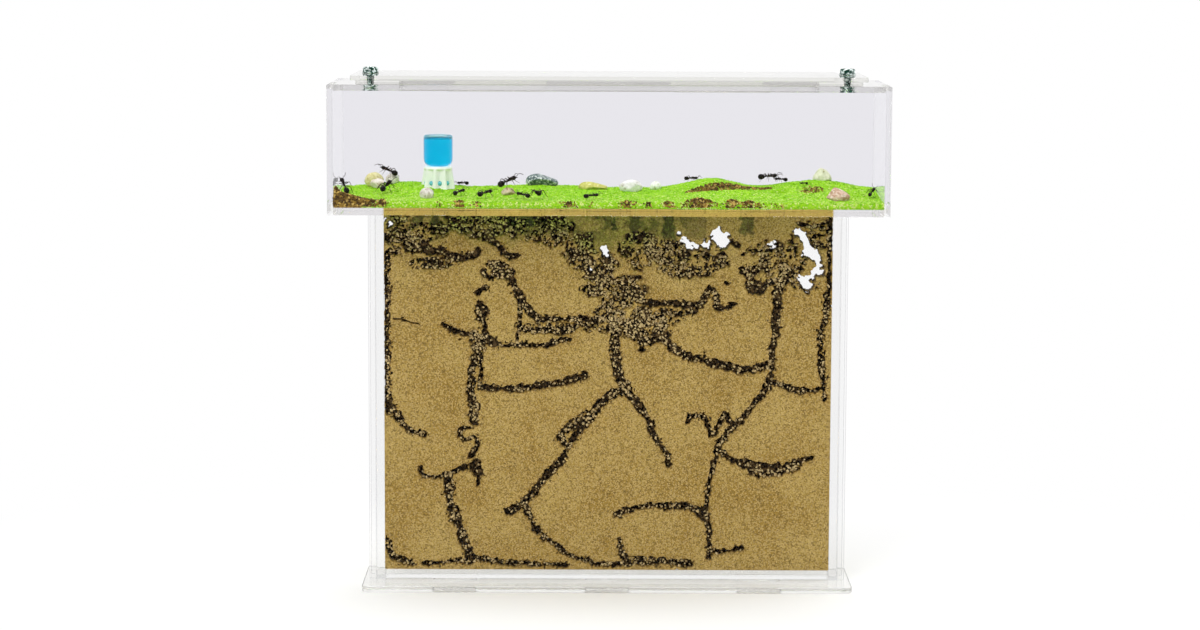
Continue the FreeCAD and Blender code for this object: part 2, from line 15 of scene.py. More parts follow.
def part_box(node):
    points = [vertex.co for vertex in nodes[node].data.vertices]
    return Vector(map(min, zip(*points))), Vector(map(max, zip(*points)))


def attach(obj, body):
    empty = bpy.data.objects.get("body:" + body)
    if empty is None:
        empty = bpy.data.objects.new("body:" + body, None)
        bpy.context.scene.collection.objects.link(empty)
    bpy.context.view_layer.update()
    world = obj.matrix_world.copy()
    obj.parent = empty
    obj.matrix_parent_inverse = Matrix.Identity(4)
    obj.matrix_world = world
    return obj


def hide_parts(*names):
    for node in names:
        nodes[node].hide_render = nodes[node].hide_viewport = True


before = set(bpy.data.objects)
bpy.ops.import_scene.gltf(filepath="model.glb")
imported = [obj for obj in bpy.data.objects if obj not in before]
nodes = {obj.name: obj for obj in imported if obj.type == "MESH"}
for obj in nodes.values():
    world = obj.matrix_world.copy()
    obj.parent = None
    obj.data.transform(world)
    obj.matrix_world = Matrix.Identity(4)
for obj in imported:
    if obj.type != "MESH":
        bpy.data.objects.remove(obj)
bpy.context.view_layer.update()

MM = 0.001


# ------------------------------------------------------------------ places read from the frame, mm
def box_mm(node):
    """Lowest and highest corner of a node, in millimetres."""
    low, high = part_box(node)
    return np.array(low) / MM, np.array(high) / MM


sand_low, sand_high = box_mm("nest_sand")
bed_low, bed_high = box_mm("arena_sand")
floor_top = bed_low[2]
half_slab = sand_high[0]
slab_foot = sand_low[2]
half_bed_x = bed_high[0]
half_bed_y = bed_high[1]
stand_low, stand_high = box_mm("feeder_stand")
vial_low, vial_high = box_mm("feeder_vial")
feeder_x, feeder_y = (stand_low[:2] + stand_high[:2]) / 2
GAP = 0.12                      # air left between a filling and the sheet in front of it
FLOOR_SHEET = 3.0
FLOOR_SHEET_FOOT = floor_top - FLOOR_SHEET
rng = np.random.default_rng(7)


# ------------------------------------------------------------------ numbers over a surface
def noise(points, scale, seed):
    """Value noise from 0 to 1 in any number of dimensions: a random number at every lattice
    corner of the given spacing, blended between the corners round a point with 3t^2 - 2t^3."""
    cell = np.stack(points, -1) / scale
    base = np.floor(cell).astype(np.int64)
    t = cell - base
    t = t * t * (3 - 2 * t)
    total = 0.0
    for corner in np.ndindex(*(2,) * cell.shape[-1]):
        mixed = np.full(base.shape[:-1], seed * 2654435 + 97, np.int64)
        weight = 1.0
        for axis, step in enumerate(corner):
            mixed = (mixed ^ (base[..., axis] + step + 4096)) * 73856093 & 0xFFFFFFFF
            mixed = (mixed ^ (mixed >> 15)) * 83492791 & 0xFFFFFFFF
            weight = weight * (t[..., axis] if step else 1 - t[..., axis])
        total = total + weight * ((mixed ^ (mixed >> 13)) & 0xFFFF) / 65535.0
    return total


def layered(points, scale, seed, layers=3):
    """Noise from 0 to 1 whose every next layer is half as wide and half as strong."""
    total, weight = 0.0, 0.0
    for k in range(layers):
        total = total + noise(points, scale / 2**k, seed + 31 * k) / 2**k
        weight += 1 / 2**k
    return total / weight


def ramp(value, low, high):
    """0 below low, 1 above high and a smooth step 3t^2 - 2t^3 between; low may be above high."""
    t = np.clip((value - low) / (high - low), 0, 1)
    return t * t * (3 - 2 * t)


# ------------------------------------------------------------------ meshes
def weld(points, faces):
    """Merges points that lie together and drops the triangles that this closes up."""
    _, first, merged = np.unique(np.round(points, 5), axis=0, return_index=True, return_inverse=True)
    faces = merged.reshape(-1)[faces]
    whole = (faces[:, 0] != faces[:, 1]) & (faces[:, 1] != faces[:, 2]) & (faces[:, 2] != faces[:, 0])
    return points[first], faces[whole]


def outward(points, faces):
    """A closed shape with its faces turned outwards: its volume, a sum of a . (b x c) over the
    triangles, comes out above zero."""
    a, b, c = points[faces[:, 0]], points[faces[:, 1]], points[faces[:, 2]]
    if np.einsum("ij,ij->", a - points.mean(0), np.cross(b - points.mean(0), c - points.mean(0))) < 0:
        faces = faces[:, ::-1]
    return points, faces


def grid_faces(rows, columns, keep=None):
    """Two triangles for every cell of a grid of points, or for the cells in keep."""
    i, j = np.meshgrid(np.arange(rows - 1), np.arange(columns - 1), indexing="ij")
    if keep is not None:
        i, j = i[keep], j[keep]
    a = (i * columns + j).ravel()
    b, c, d = a + 1, a + columns + 1, a + columns
    return np.concatenate((np.stack((a, b, c), -1), np.stack((a, c, d), -1)))


def closed_surface(grid):
    """A closed shape from a (rows, columns, 3) grid whose ends meet or shrink to a point."""
    rows, columns = grid.shape[:2]
    return outward(*weld(grid.reshape(-1, 3), grid_faces(rows, columns)))


def joined(shapes):
    """Several (points, faces) shapes as one."""
    points, faces, count = [], [], 0
    for p, f in shapes:
        points.append(p)
        faces.append(f + count)
        count += len(p)
    return np.concatenate(points), np.concatenate(faces)


def piece(name, shape, body, material, slot, replaces=(), sharp=40.0, marks=None):
    """A finished mesh object from a shape in millimetres, riding on its body.  Edges that turn by
    more than `sharp` degrees stay crisp, and marks are numbers at the points by name."""
    points, faces = shape
    mesh = bpy.data.meshes.new(name)
    mesh.vertices.add(len(points))
    mesh.vertices.foreach_set("co", (points * MM).astype(np.float32).ravel())
    mesh.loops.add(len(faces) * 3)
    mesh.loops.foreach_set("vertex_index", faces.astype(np.int32).ravel())
    mesh.polygons.add(len(faces))
    mesh.polygons.foreach_set("loop_start", np.arange(0, len(faces) * 3, 3, dtype=np.int32))
    mesh.polygons.foreach_set("use_smooth", np.ones(len(faces), bool))
    for key, values in (marks or {}).items():
        mesh.attributes.new(key, "FLOAT", "POINT").data.foreach_set("value", values.astype(np.float32))
    mesh.update(calc_edges=True)
    mesh.set_sharp_from_angle(angle=math.radians(sharp))
    thing = bpy.data.objects.new(name, mesh)
    bpy.context.scene.collection.objects.link(thing)
    mesh.materials.append(material)
    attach(thing, body)
    if replaces:
        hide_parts(*replaces)


# ------------------------------------------------------------------ forms
def ball(steps_round, steps_down):
    """Unit sphere grid: latitude runs down the rows and longitude along the columns."""
    down = np.linspace(0, math.pi, steps_down)[:, None]
    turn = np.linspace(0, 2 * math.pi, steps_round + 1)[None, :]
    flat = np.ones_like(turn)
    return np.stack((np.sin(down) * np.cos(turn), np.sin(down) * np.sin(turn), np.cos(down) * flat), -1)


def ico_ball(splits):
    """Unit sphere of even triangles: an icosahedron whose edges are halved `splits` times and
    whose points are pushed out to the sphere."""
    g = (1 + math.sqrt(5)) / 2
    ring = [(s, t * g, 0) for s in (-1, 1) for t in (-1, 1)]
    points = np.array(ring + [(0, a, b) for a, b, _ in ring] + [(b, 0, a) for a, b, _ in ring], float)
    points /= np.linalg.norm(points[0])
    near = np.linalg.norm(points[:, None] - points[None], axis=-1) < 1.1
    i, j, k = np.ogrid[:12, :12, :12]
    a, b, c = np.nonzero(near[:, :, None] & near[:, None, :] & near[None] & (i < j) & (j < k))
    faces = np.stack((a, b, c), -1)
    flipped = np.einsum("ij,ij->i", points[a], np.cross(points[b], points[c])) < 0
    faces[flipped] = faces[flipped][:, ::-1]
    for _ in range(splits):
        a, b, c = (points[faces[:, n]] for n in range(3))
        ab, bc, ca = a + b, b + c, c + a
        corners = [v / np.linalg.norm(v, axis=1, keepdims=True) for v in (a, b, c, ab, bc, ca)]
        order = ((0, 3, 5), (3, 1, 4), (5, 4, 2), (3, 4, 5))
        cut = np.concatenate([np.stack([corners[n] for n in o], 1) for o in order])
        points, faces = weld(cut.reshape(-1, 3), np.arange(len(cut) * 3).reshape(-1, 3))
    return points, faces


def lathe(profile, x, y):
    """A shape turned about the upright axis at (x, y): (radius, height) points carried round."""
    profile = np.array(profile, float)
    steps = 72
    turn = np.linspace(0, 2 * math.pi, steps + 1)
    grid = np.empty((len(profile), steps + 1, 3))
    grid[..., 0] = profile[:, :1] * np.cos(turn)
    grid[..., 1] = profile[:, :1] * np.sin(turn)
    grid[..., 2] = profile[:, 1:]
    points, faces = closed_surface(grid)
    return points + (x, y, 0), faces


def tube(path, radii, side, steps=8):
    """A round tube along a path, closed at both ends: each ring lies across the path, turned so
    that its first axis is square to `side`."""
    path, radii = np.asarray(path, float), np.asarray(radii, float)
    along = np.gradient(path, axis=0)
    along /= np.linalg.norm(along, axis=1, keepdims=True)
    first = np.cross(along, side)
    first /= np.linalg.norm(first, axis=1, keepdims=True)
    second = np.cross(along, first)
    turn = np.linspace(0, 2 * math.pi, steps + 1)[None, :, None]
    around = np.cos(turn) * first[:, None] + np.sin(turn) * second[:, None]
    rings = path[:, None] + radii[:, None, None] * around
    ends = [np.repeat(path[k][None, None], steps + 1, 1) for k in (0, -1)]
    return closed_surface(np.concatenate((ends[0], rings, ends[1])))


def smooth_line(points, spacing):
    """A line through points by Catmull-Rom cubics, cut to about the given spacing."""
    p = np.asarray(points, float)
    p = np.concatenate((2 * p[:1] - p[1:2], p, 2 * p[-1:] - p[-2:-1]))
    out = []
    for a, b, c, d in zip(p, p[1:], p[2:], p[3:]):
        count = max(2, int(np.linalg.norm(c - b) / spacing))
        t = np.linspace(0, 1, count, endpoint=False)[:, None]
        out.append(((2 * b) + (c - a) * t + (2 * a - 5 * b + 4 * c - d) * t**2
                    + (3 * b - a - 3 * c + d) * t**3) / 2)
    return np.concatenate(out + [p[-2:-1]])


def scattered(centres, sizes, splits=0, uneven=0.22):
    """Many small lumps: each is a ball of even triangles whose points are moved in and out at
    random, squashed and turned at random."""
    ball_points, ball_faces = ico_ball(splits)
    count = len(centres)
    shape = ball_points[None] * rng.uniform(1 - uneven, 1 + uneven, (count, len(ball_points), 1))
    shape = shape * rng.uniform(0.7, 1.2, (count, 1, 3))
    turn = np.linalg.qr(rng.normal(size=(count, 3, 3)))[0]
    turn[np.linalg.det(turn) < 0] *= -1
    shape = np.einsum("nij,nkj->nki", turn, shape) * sizes[:, None, None] + centres[:, None]
    faces = ball_faces[None] + len(ball_points) * np.arange(count)[:, None, None]
    return shape.reshape(-1, 3), faces.reshape(-1, 3)


def closed_field(grid, keep, flat_axis, flat_at):
    """A closed body between a surface on a grid and a flat far side: the surface's open edges run
    straight back to the flat side, which is filled with triangles round its holes."""
    rows, columns = grid.shape[:2]
    points, faces = grid.reshape(-1, 3), grid_faces(rows, columns, keep)
    edges = np.concatenate((faces[:, [0, 1]], faces[:, [1, 2]], faces[:, [2, 0]]))
    code = edges[:, 0] * len(points) + edges[:, 1]
    back = edges[:, 1] * len(points) + edges[:, 0]
    rim = edges[~np.isin(code, back)]
    rim_points, rim = np.unique(rim, return_inverse=True)
    rim = rim.reshape(-1, 2)
    far = points[rim_points].copy()
    far[:, flat_axis] = flat_at
    count = len(points)
    near_a, near_b = rim_points[rim[:, 0]], rim_points[rim[:, 1]]
    far_a, far_b = rim[:, 0] + count, rim[:, 1] + count
    walls = np.concatenate((np.stack((near_b, near_a, far_a), -1), np.stack((near_b, far_a, far_b), -1)))
    plan = np.delete(far, flat_axis, 1)
    found = delaunay_2d_cdt([Vector(p) for p in plan], rim.tolist(), [], 0, 1e-6)
    first = np.array([source[0] for source in found[3]])
    cap = first[np.array(found[2])]
    middle = plan[cap].mean(1)
    column = np.searchsorted(grid[0, :, 0], middle[:, 0]) - 1
    row = np.searchsorted(grid[:, 0, 3 - flat_axis], middle[:, 1]) - 1
    kept = keep[np.clip(row, 0, rows - 2), np.clip(column, 0, columns - 2)]
    cap = cap[kept] + count
    a, b, c = (far[cap[:, n] - count] for n in range(3))
    front = points[faces[:, 0]], points[faces[:, 1]], points[faces[:, 2]]
    facing = np.cross(front[1] - front[0], front[2] - front[0])[:, flat_axis].sum()
    turned = np.cross(b - a, c - a)[:, flat_axis] * facing > 0
    cap[turned] = cap[turned][:, ::-1]
    points = np.concatenate((points, far))
    faces = np.concatenate((faces, walls, cap))
    used, faces = np.unique(faces, return_inverse=True)
    points, faces = points[used], faces.reshape(-1, 3)
    turned = outward(points, faces)
    source = np.concatenate((np.arange(count), rim_points))[used]
    return turned, source


# ------------------------------------------------------------------ shader expressions
class S:
    """A shader socket or number that takes part in Python expressions; every operator adds one
    Math node to the material being written."""

    tree = None

    def __init__(self, value):
        self.value = value

    @classmethod
    def node(cls, kind, settings=None, **sockets):
        """Adds a node, sets its settings first and then its sockets, and returns it.  A socket is
        named by its words joined with _, or by its number as n0, n1 and so on."""
        made = cls.tree.nodes.new("ShaderNode" + kind)
        for key, value in (settings or {}).items():
            setattr(made, key, value)
        for key, value in sockets.items():
            numbered = key[0] == "n" and key[1:].isdigit()
            socket = made.inputs[int(key[1:]) if numbered else key.replace("_", " ")]
            if isinstance(value, S):
                value = value.value
            if isinstance(value, bpy.types.NodeSocket):
                cls.tree.links.new(value, socket)
            else:
                socket.default_value = value
        return made

    @classmethod
    def math(cls, operation, *values):
        """One Math node on its values, as an expression."""
        sockets = {f"n{k}": v for k, v in enumerate(values)}
        return S(cls.node("Math", {"operation": operation}, **sockets).outputs[0])

    def __add__(self, other): return S.math("ADD", self, other)
    def __radd__(self, other): return S.math("ADD", other, self)
    def __sub__(self, other): return S.math("SUBTRACT", self, other)
    def __rsub__(self, other): return S.math("SUBTRACT", other, self)
    def __mul__(self, other): return S.math("MULTIPLY", self, other)
    def __rmul__(self, other): return S.math("MULTIPLY", other, self)
    def __pow__(self, other): return S.math("POWER", self, other)
    def most(self, other): return S.math("MAXIMUM", self, other)
    def least(self, other): return S.math("MINIMUM", self, other)

    def step(self, low, high):
        """0 below low, 1 above high, smooth between."""
        settings = {"interpolation_type": "SMOOTHSTEP"}
        made = S.node("MapRange", settings, Value=self, From_Min=low, From_Max=high)
        return S(made.outputs[0])


def mixed(share, a, b):
    """Colour a where share is 0 and b where it is 1."""
    a, b = (colour if isinstance(colour, S) else (*colour, 1) for colour in (a, b))
    return S(S.node("Mix", {"data_type": "RGBA"}, n0=share, n6=a, n7=b).outputs[2])


def place():
    """The point's place in metres."""
    return S(S.node("TexCoord").outputs["Object"])


def part_of(vector, axis):
    """One of a vector's or a colour's three numbers."""
    return S(S.node("SeparateXYZ", n0=vector).outputs[axis])


def cloud(size_mm, detail=3.0, rough=0.55, warp=0.0):
    """Soft noise from 0 to 1, with features of about the given size."""
    made = S.node("TexNoise", None, Vector=place(), Scale=1 / (size_mm * MM), Detail=detail,
                  Roughness=rough, Distortion=warp)
    return S(made.outputs[0])


def grains(size_mm, outlet="Color"):
    """Cells of the given size: a random colour for each grain, or the distance to its middle."""
    made = S.node("TexVoronoi", None, Vector=place(), Scale=1 / (size_mm * MM))
    return S(made.outputs[outlet])


def mark(name):
    """A number kept at the mesh's points."""
    return S(S.node("Attribute", {"attribute_name": name}).outputs["Fac"])


def bump(height, distance_mm, strength=1.0):
    """A normal tilted by a height that is at most the given distance."""
    made = S.node("Bump", None, Height=height, Distance=distance_mm * MM, Strength=strength)
    return S(made.outputs[0])


def material(name, write, **fixed):
    """A material whose look is written by a function that returns its varying sockets; fixed
    values go on the shader's own sockets."""
    made = bpy.data.materials.new(name)
    made.use_nodes = True
    S.tree = made.node_tree
    shader = S.tree.nodes["Principled BSDF"]
    for key, value in {**fixed, **write(shader)}.items():
        socket = shader.inputs[key.replace("_", " ")]
        if isinstance(value, S):
            S.tree.links.new(value.value, socket)
        elif isinstance(value, tuple) and len(value) == 3:
            socket.default_value = (*value, 1.0)
        else:
            socket.default_value = value
    return made


def ray_kinds():
    """Whether a ray comes from the eye, from a mirroring or through something that bends it; a
    ray through clear sheet counts as glossy too, so that is taken off."""
    path = S.node("LightPath")
    bent = S(path.outputs["Is Transmission Ray"])
    return S(path.outputs["Is Camera Ray"]), S(path.outputs["Is Glossy Ray"]) * (1.0 - bent), bent


def part_straight(shader, tint, share):
    """Glass of which a share is seen straight through, with a tint, as at a soft cut edge."""
    plain = S.node("BsdfTransparent", None, Color=(*tint, 1))
    return S.node("MixShader", None, Fac=share, n1=S(shader.outputs[0]), n2=S(plain.outputs[0]))


def to_surface(made):
    """Puts a shader node on the surface of the material being written."""
    S.tree.links.new(made.outputs[0], S.tree.nodes["Material Output"].inputs["Surface"])


def lets_light_in(shader, tint):
    """Glass that bends what is seen through it, and lets the light of lamps and of its
    surroundings straight in to what it covers."""
    path = S.node("LightPath")
    straight = S(path.outputs["Is Shadow Ray"]).most(S(path.outputs["Is Diffuse Ray"]))
    clear = S.node("BsdfTransparent", None, Color=(*tint, 1))
    to_surface(S.node("MixShader", None, Fac=straight, n1=S(shader.outputs[0]), n2=S(clear.outputs[0])))


# ------------------------------------------------------------------ finishes
def acrylic_look(tone, thin, edge=0.85, edge_tint=(0.985, 0.985, 0.98)):
    """Clear sheet with a little dust; the tone is what a sheet of that depth leaves of white. Its
    cut edges, whose faces don't look along its thin way, are soft: mostly seen straight through."""
    def write(shader):
        facing = S.math("ABSOLUTE", part_of(S(S.node("TexCoord").outputs["Normal"]), thin))
        cut = facing.step(0.97, 0.75)
        lets_light_in(part_straight(shader, edge_tint, cut * edge), (0.992, 0.992, 0.992))
        dust = grains(2.6, "Distance").step(0.08, 0.03) * cloud(23).step(0.58, 0.64)
        return {"Roughness": 0.22 * dust, "Base_Color": mixed(dust * 0.25, tone, (0.80, 0.80, 0.80))}
    return write


def steel_look(shader):
    """Bright metal that mirrors its surroundings, with pale and dark green patches painted into its colour as
    painted reflection, and fine lines left by the tool.
    """
    lines = cloud(0.25, 2.0)
    # Painted reflection: the colour goes between near-black green and near white in soft patches.
    return {"Base_Color": mixed(cloud(1.1).step(0.49, 0.56), (0.012, 0.075, 0.05), (0.88, 1.0, 0.97)),
            "Roughness": 0.08 + 0.14 * lines + 0.12 * cloud(2.0).step(0.5, 0.8),
            "Normal": bump(lines, 0.01, 0.6)}


def nest_sand_look(shader):
    """Packed ochre sand: grains in dark and bright specks over two soft tones, then rust beside
    the galleries, a green stain, painted shade over darker sand in the dug hollows, dark green
    near the top and in the shafts, pale loose grains and paler sand as painted light in the arena floor's
    slot."""
    tone = cloud(26, 4.0, 0.6)
    coarse = cloud(0.8, 3.0, 0.75)
    fine = grains(0.47)
    speck = part_of(fine, 0)
    body = mixed(tone.step(0.34, 0.66), (0.300, 0.184, 0.032), (0.402, 0.276, 0.072))
    body = mixed(coarse.step(0.35, 0.75) * 0.16, body, (0.45, 0.32, 0.10))
    body = mixed(mark("rust") * 0.55, body, (0.27, 0.125, 0.022))
    green = mixed(coarse.step(0.35, 0.65), (0.12, 0.115, 0.014), (0.30, 0.29, 0.045))
    body = mixed(mark("green"), body, green)
    body = mixed(speck.step(0.30, 1.0) * 0.78, body, (0.115, 0.070, 0.020))
    bright = part_of(fine, 1).step(0.40, 1.0) * 0.60 * (1.0 - 0.6 * mark("green"))
    body = mixed(bright, body, (0.62, 0.45, 0.17))
    # Painted shade: the dug galleries go near black where their hollows lie in shade, with patches of darker
    # brown dug sand.
    dark = mixed(cloud(1.3, 3.0).step(0.42, 0.66), (0.022, 0.013, 0.005), (0.230, 0.145, 0.055))
    before_back = part_of(place(), 1).step(sand_high[1] * MM, (sand_high[1] - 0.4) * MM)
    body = mixed(mark("dug").step(0.30, 0.60) * before_back, body, dark)
    # Dark green in patches near the top of the slab and down the shafts.
    dark_green = mixed(part_of(grains(0.9), 0).step(0.2, 0.9), (0.008, 0.011, 0.003), (0.065, 0.090, 0.012))
    body = mixed(mark("dark_green"), body, dark_green)
    pale = mixed(part_of(fine, 2), (0.34, 0.24, 0.09), (0.74, 0.58, 0.30))
    pale = mixed(mark("green"), pale, mixed(part_of(fine, 2), (0.30, 0.30, 0.045), (0.66, 0.66, 0.19)))
    body = mixed(mark("pale"), body, pale)
    # Painted light: the sand in the arena floor's slot is painted paler to make up for the light that the
    # sheets round it take.
    in_floor = part_of(place(), 2).step(FLOOR_SHEET_FOOT * MM, (FLOOR_SHEET_FOOT + 0.2) * MM)
    slot_painted_light = mixed(coarse.step(0.3, 0.7), (0.74, 0.46, 0.13), (0.92, 0.63, 0.21))
    body = mixed(in_floor * (1.0 - 0.7 * speck.step(0.90, 0.97)), body, slot_painted_light)
    height = grains(0.55, "Distance") * 0.5 + coarse
    return {"Base_Color": body, "Roughness": 0.85 - 0.2 * speck, "Normal": bump(height, 0.18, 0.7)}


def green_sand_look(shader):
    """Loose lime-green sand with some pale grains, more of them towards the front, and brown
    where soil is mixed in."""
    front = (part_of(place(), 1) * -30.0 + 0.15).step(-0.2, 1.0)
    cell = grains(0.5)
    pick = part_of(cell, 0)
    shade = part_of(cell, 1)
    body = mixed(shade, (0.150, 0.43, 0.006), (0.355, 0.69, 0.014))
    body = mixed(cloud(9, 3.0).step(0.45, 0.7) * 0.4, body, (0.38, 0.70, 0.03))
    pale = mixed(shade, (0.46, 0.66, 0.09), (0.70, 0.78, 0.28))
    share = 0.04 + 0.18 * front + 0.14 * cloud(6.0).step(0.45, 0.75)
    body = mixed((pick - 1.0 + share).step(-0.03, 0.03), body, pale)
    body = mixed(mark("soil"), body, mixed(shade, (0.09, 0.045, 0.010), (0.44, 0.28, 0.06)))
    height = 1.0 - grains(0.5, "Distance")
    return {"Base_Color": body, "Roughness": 0.55 + 0.3 * shade, "Normal": bump(height, 0.3, 0.8)}


def soil_look(shader):
    """Crumbly brown soil: a tone for each crumb, painted shade in the hollows and a few bright grains as
    painted highlights.
    """
    lump = cloud(1.4, 4.0, 0.65)
    cell = grains(0.9)
    body = mixed(part_of(cell, 0), (0.085, 0.043, 0.004), (0.37, 0.225, 0.032))
    # Painted shade: near black where the bump height is low, in the hollows between crumbs.
    body = mixed(lump.step(0.55, 0.42) * 0.9, body, (0.035, 0.015, 0.004))
    # Painted highlights: a few crumbs are painted bright.
    body = mixed(part_of(cell, 1).step(0.84, 0.94) * 0.9, body, (0.64, 0.45, 0.12))
    return {"Base_Color": body, "Roughness": 0.85 - 0.2 * lump, "Normal": bump(lump, 0.3, 0.8)}


def stone_look(low, high, fleck, fleck_share):
    """A worn stone: two tones in soft clouds, and small flecks of a third."""
    def write(shader):
        veins = cloud(2.2, 5.0, 0.7, 0.9)
        fine = cloud(0.7, 4.0, 0.75)
        body = mixed(veins.step(0.35, 0.65), low, high)
        chip = part_of(grains(1.0), 0)
        flecks = chip.step(1.0 - 0.5 * fleck_share, 1.05 - 0.5 * fleck_share) * fine.step(0.42, 0.55)
        body = mixed(flecks, body, fleck)
        return {"Base_Color": body, "Roughness": 0.45 + 0.25 * fine,
                "Normal": bump(fine + veins, 0.12, 0.6)}
    return write


def feeder_look(shader):
    """Moulded white plastic with a faint green cast."""
    shade = cloud(7, 2.0)
    return {"Base_Color": mixed(shade.step(0.3, 0.7), (0.86, 0.92, 0.85), (0.94, 0.96, 0.92)),
            "Roughness": 0.28 + 0.12 * cloud(1.2), "Normal": bump(cloud(3), 0.03, 0.4)}


def vial_look(shader):
    """Clear moulded vial, whose thick end is mostly seen straight through."""
    end = part_of(place(), 2).step((vial_high[2] - 1.6) * MM, (vial_high[2] - 1.1) * MM)
    lets_light_in(part_straight(shader, (0.72, 0.93, 0.95), end * 0.7), (0.96, 0.98, 0.99))
    streak = cloud(3.0).step(0.6, 0.8)
    return {"Roughness": 0.06 * streak, "Base_Color": mixed(streak, (0.84, 0.95, 0.96), (0.78, 0.92, 0.94))}


def liquid_look(shader):
    """Clear blue liquid that is deeper in tone towards its rim, as a filled glass is."""
    rim = S(S.node("LayerWeight", None, Blend=0.5).outputs["Facing"]).step(0.60, 0.95)
    lets_light_in(part_straight(shader, (0.0, 0.34, 0.46), rim * 0.8), (0.30, 0.75, 0.90))
    depth = cloud(5, 2.0)
    return {"Base_Color": mixed(depth.step(0.3, 0.7), (0.0, 0.61, 0.95), (0.001, 0.69, 1.0)),
            "Roughness": 0.02 * depth}


def port_look(shader):
    """The liquid that stands in a drinking port."""
    depth = cloud(1.2, 2.0)
    tone = mixed(depth.step(0.3, 0.7), (0.10, 0.52, 0.64), (0.26, 0.66, 0.74))
    return {"Base_Color": tone, "Roughness": 0.12 + 0.08 * depth}


def ant_look(shader):
    """A shiny near-black shell, browner on the legs and feelers."""
    limb = mark("limb")
    body = mixed(cloud(0.9).step(0.3, 0.7), (0.004, 0.003, 0.003), (0.014, 0.009, 0.007))
    body = mixed(limb * 0.8, body, (0.030, 0.014, 0.009))
    return {"Base_Color": body, "Roughness": 0.34 + 0.2 * cloud(0.4), "Normal": bump(cloud(0.3), 0.02, 0.5)}


ACRYLIC = {"Transmission_Weight": 1.0, "IOR": 1.49, "Specular_Tint": (0.12, 0.12, 0.12)}


def clear_sheet(name, *look):
    """A clear acrylic finish: the end of its name, then what acrylic_look takes."""
    return material("clear_acrylic" + name, acrylic_look(*look), **ACRYLIC)


clear_thin = clear_sheet("", (0.962, 0.962, 0.962), 1, 0.85, (0.90, 0.90, 0.905))
clear_box = clear_sheet("_box", (0.972, 0.970, 0.980), 1)
clear_end = clear_sheet("_end", (0.972, 0.970, 0.980), 0)
clear_back = clear_sheet("_back", (0.836, 0.828, 0.862), 1)
clear_level = clear_sheet("_level", (0.870, 0.865, 0.840), 2, 0.85, (0.97, 0.968, 0.95))
clear_roof = clear_sheet("_roof", (0.750, 0.744, 0.722), 2, 0.85, (0.91, 0.908, 0.895))
clear_strip = clear_sheet("_strip", (0.985, 0.985, 0.985), 2)
clear_foot = clear_sheet("_foot", (0.900, 0.897, 0.880), 2, 0.15)
steel = material("bright_steel", steel_look, Metallic=0.6)
nest_sand_finish = material("nest_sand", nest_sand_look, Specular_IOR_Level=0.15)
green_sand_finish = material("green_sand", green_sand_look, Specular_IOR_Level=0.12)
soil_finish = material("brown_soil", soil_look, Specular_IOR_Level=0.25)
feeder_finish = material("feeder_white", feeder_look)
vial_finish = material("vial_clear", vial_look, **ACRYLIC)
liquid_finish = material("blue_liquid", liquid_look, Transmission_Weight=1.0, IOR=1.34,
                         Specular_Tint=(0.4, 0.4, 0.4))
port_finish = material("blue_port", port_look, IOR=1.34)
ant_finish = material("ant_black", ant_look, Specular_IOR_Level=0.15)


# ------------------------------------------------------------------ clear sheets
SHEETS = [n for n in nodes if n.startswith(("base_plate", "nest_front", "nest_back", "nest_left",
                                            "nest_right", "nest_bottom", "arena_"))]
SHEETS = [n for n in SHEETS if n != "arena_sand"] + ["lid_seat_frame"]
SHEET_FINISHES = {
    "nest_bottom_spacer": clear_strip, "base_plate": clear_foot, "arena_floor": clear_level,
    "arena_top_plate": clear_roof, "lid_seat_frame": clear_roof, "arena_lid": clear_roof,
    "arena_front_wall": clear_box, "arena_left_wall": clear_end, "arena_right_wall": clear_end,
    "arena_back_wall": clear_back,
}
SHEET_GAP = 0.025               # air at every glued face, so that two sheets never share one
SHEET_CHAMFER = 0.16


def dressed_sheet(node):
    """A copy of a sheet with its triangles merged to flat faces, drawn in by a hair at every face
    and with its edges broken by a small chamfer, as a cut and wiped sheet has."""
    bm = bmesh.new()
    bm.from_mesh(nodes[node].data)
    bmesh.ops.remove_doubles(bm, verts=bm.verts, dist=1e-7)
    bmesh.ops.dissolve_limit(bm, angle_limit=math.radians(0.5), verts=bm.verts, edges=bm.edges)
    bm.normal_update()
    moves = {}
    for vert in bm.verts:
        normals = []
        for face in vert.link_faces:
            if all(face.normal.dot(n) < 0.999 for n in normals):
                normals.append(face.normal.copy())
        moves[vert] = drawn_in(normals)
    for vert, move in moves.items():
        vert.co += move
    broken = [e for e in bm.edges if len(e.link_faces) == 2 and e.calc_face_angle(0) > math.radians(35)]
    bmesh.ops.bevel(bm, geom=broken, offset=SHEET_CHAMFER * MM, segments=1, profile=0.5, affect="EDGES",
                    clamp_overlap=True)
    for face in bm.faces:
        face.smooth = True
    mesh = bpy.data.meshes.new(node + "_sheet")
    bmesh.ops.triangulate(bm, faces=bm.faces)
    bm.to_mesh(mesh)
    bm.free()
    if "custom_normal" in mesh.attributes:
        mesh.attributes.remove(mesh.attributes["custom_normal"])
    mesh.set_sharp_from_angle(angle=math.radians(25))
    mesh.materials.append(SHEET_FINISHES.get(node, clear_thin))
    thing = bpy.data.objects.new(node + "_sheet", mesh)
    bpy.context.scene.collection.objects.link(thing)
    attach(thing, "lid" if node == "arena_lid" else "habitat")
    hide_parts(node)


def drawn_in(normals):
    """The move that brings every face at a corner in by the gap: the least m with n . m = -gap
    for each of the corner's face directions."""
    a = np.array(normals, float)
    move = np.linalg.lstsq(a, np.full(len(a), -SHEET_GAP * MM), rcond=None)[0]
    return Vector(move) if np.linalg.norm(move) < 4 * SHEET_GAP * MM else Vector((0, 0, 0))


for sheet in SHEETS:
    dressed_sheet(sheet)
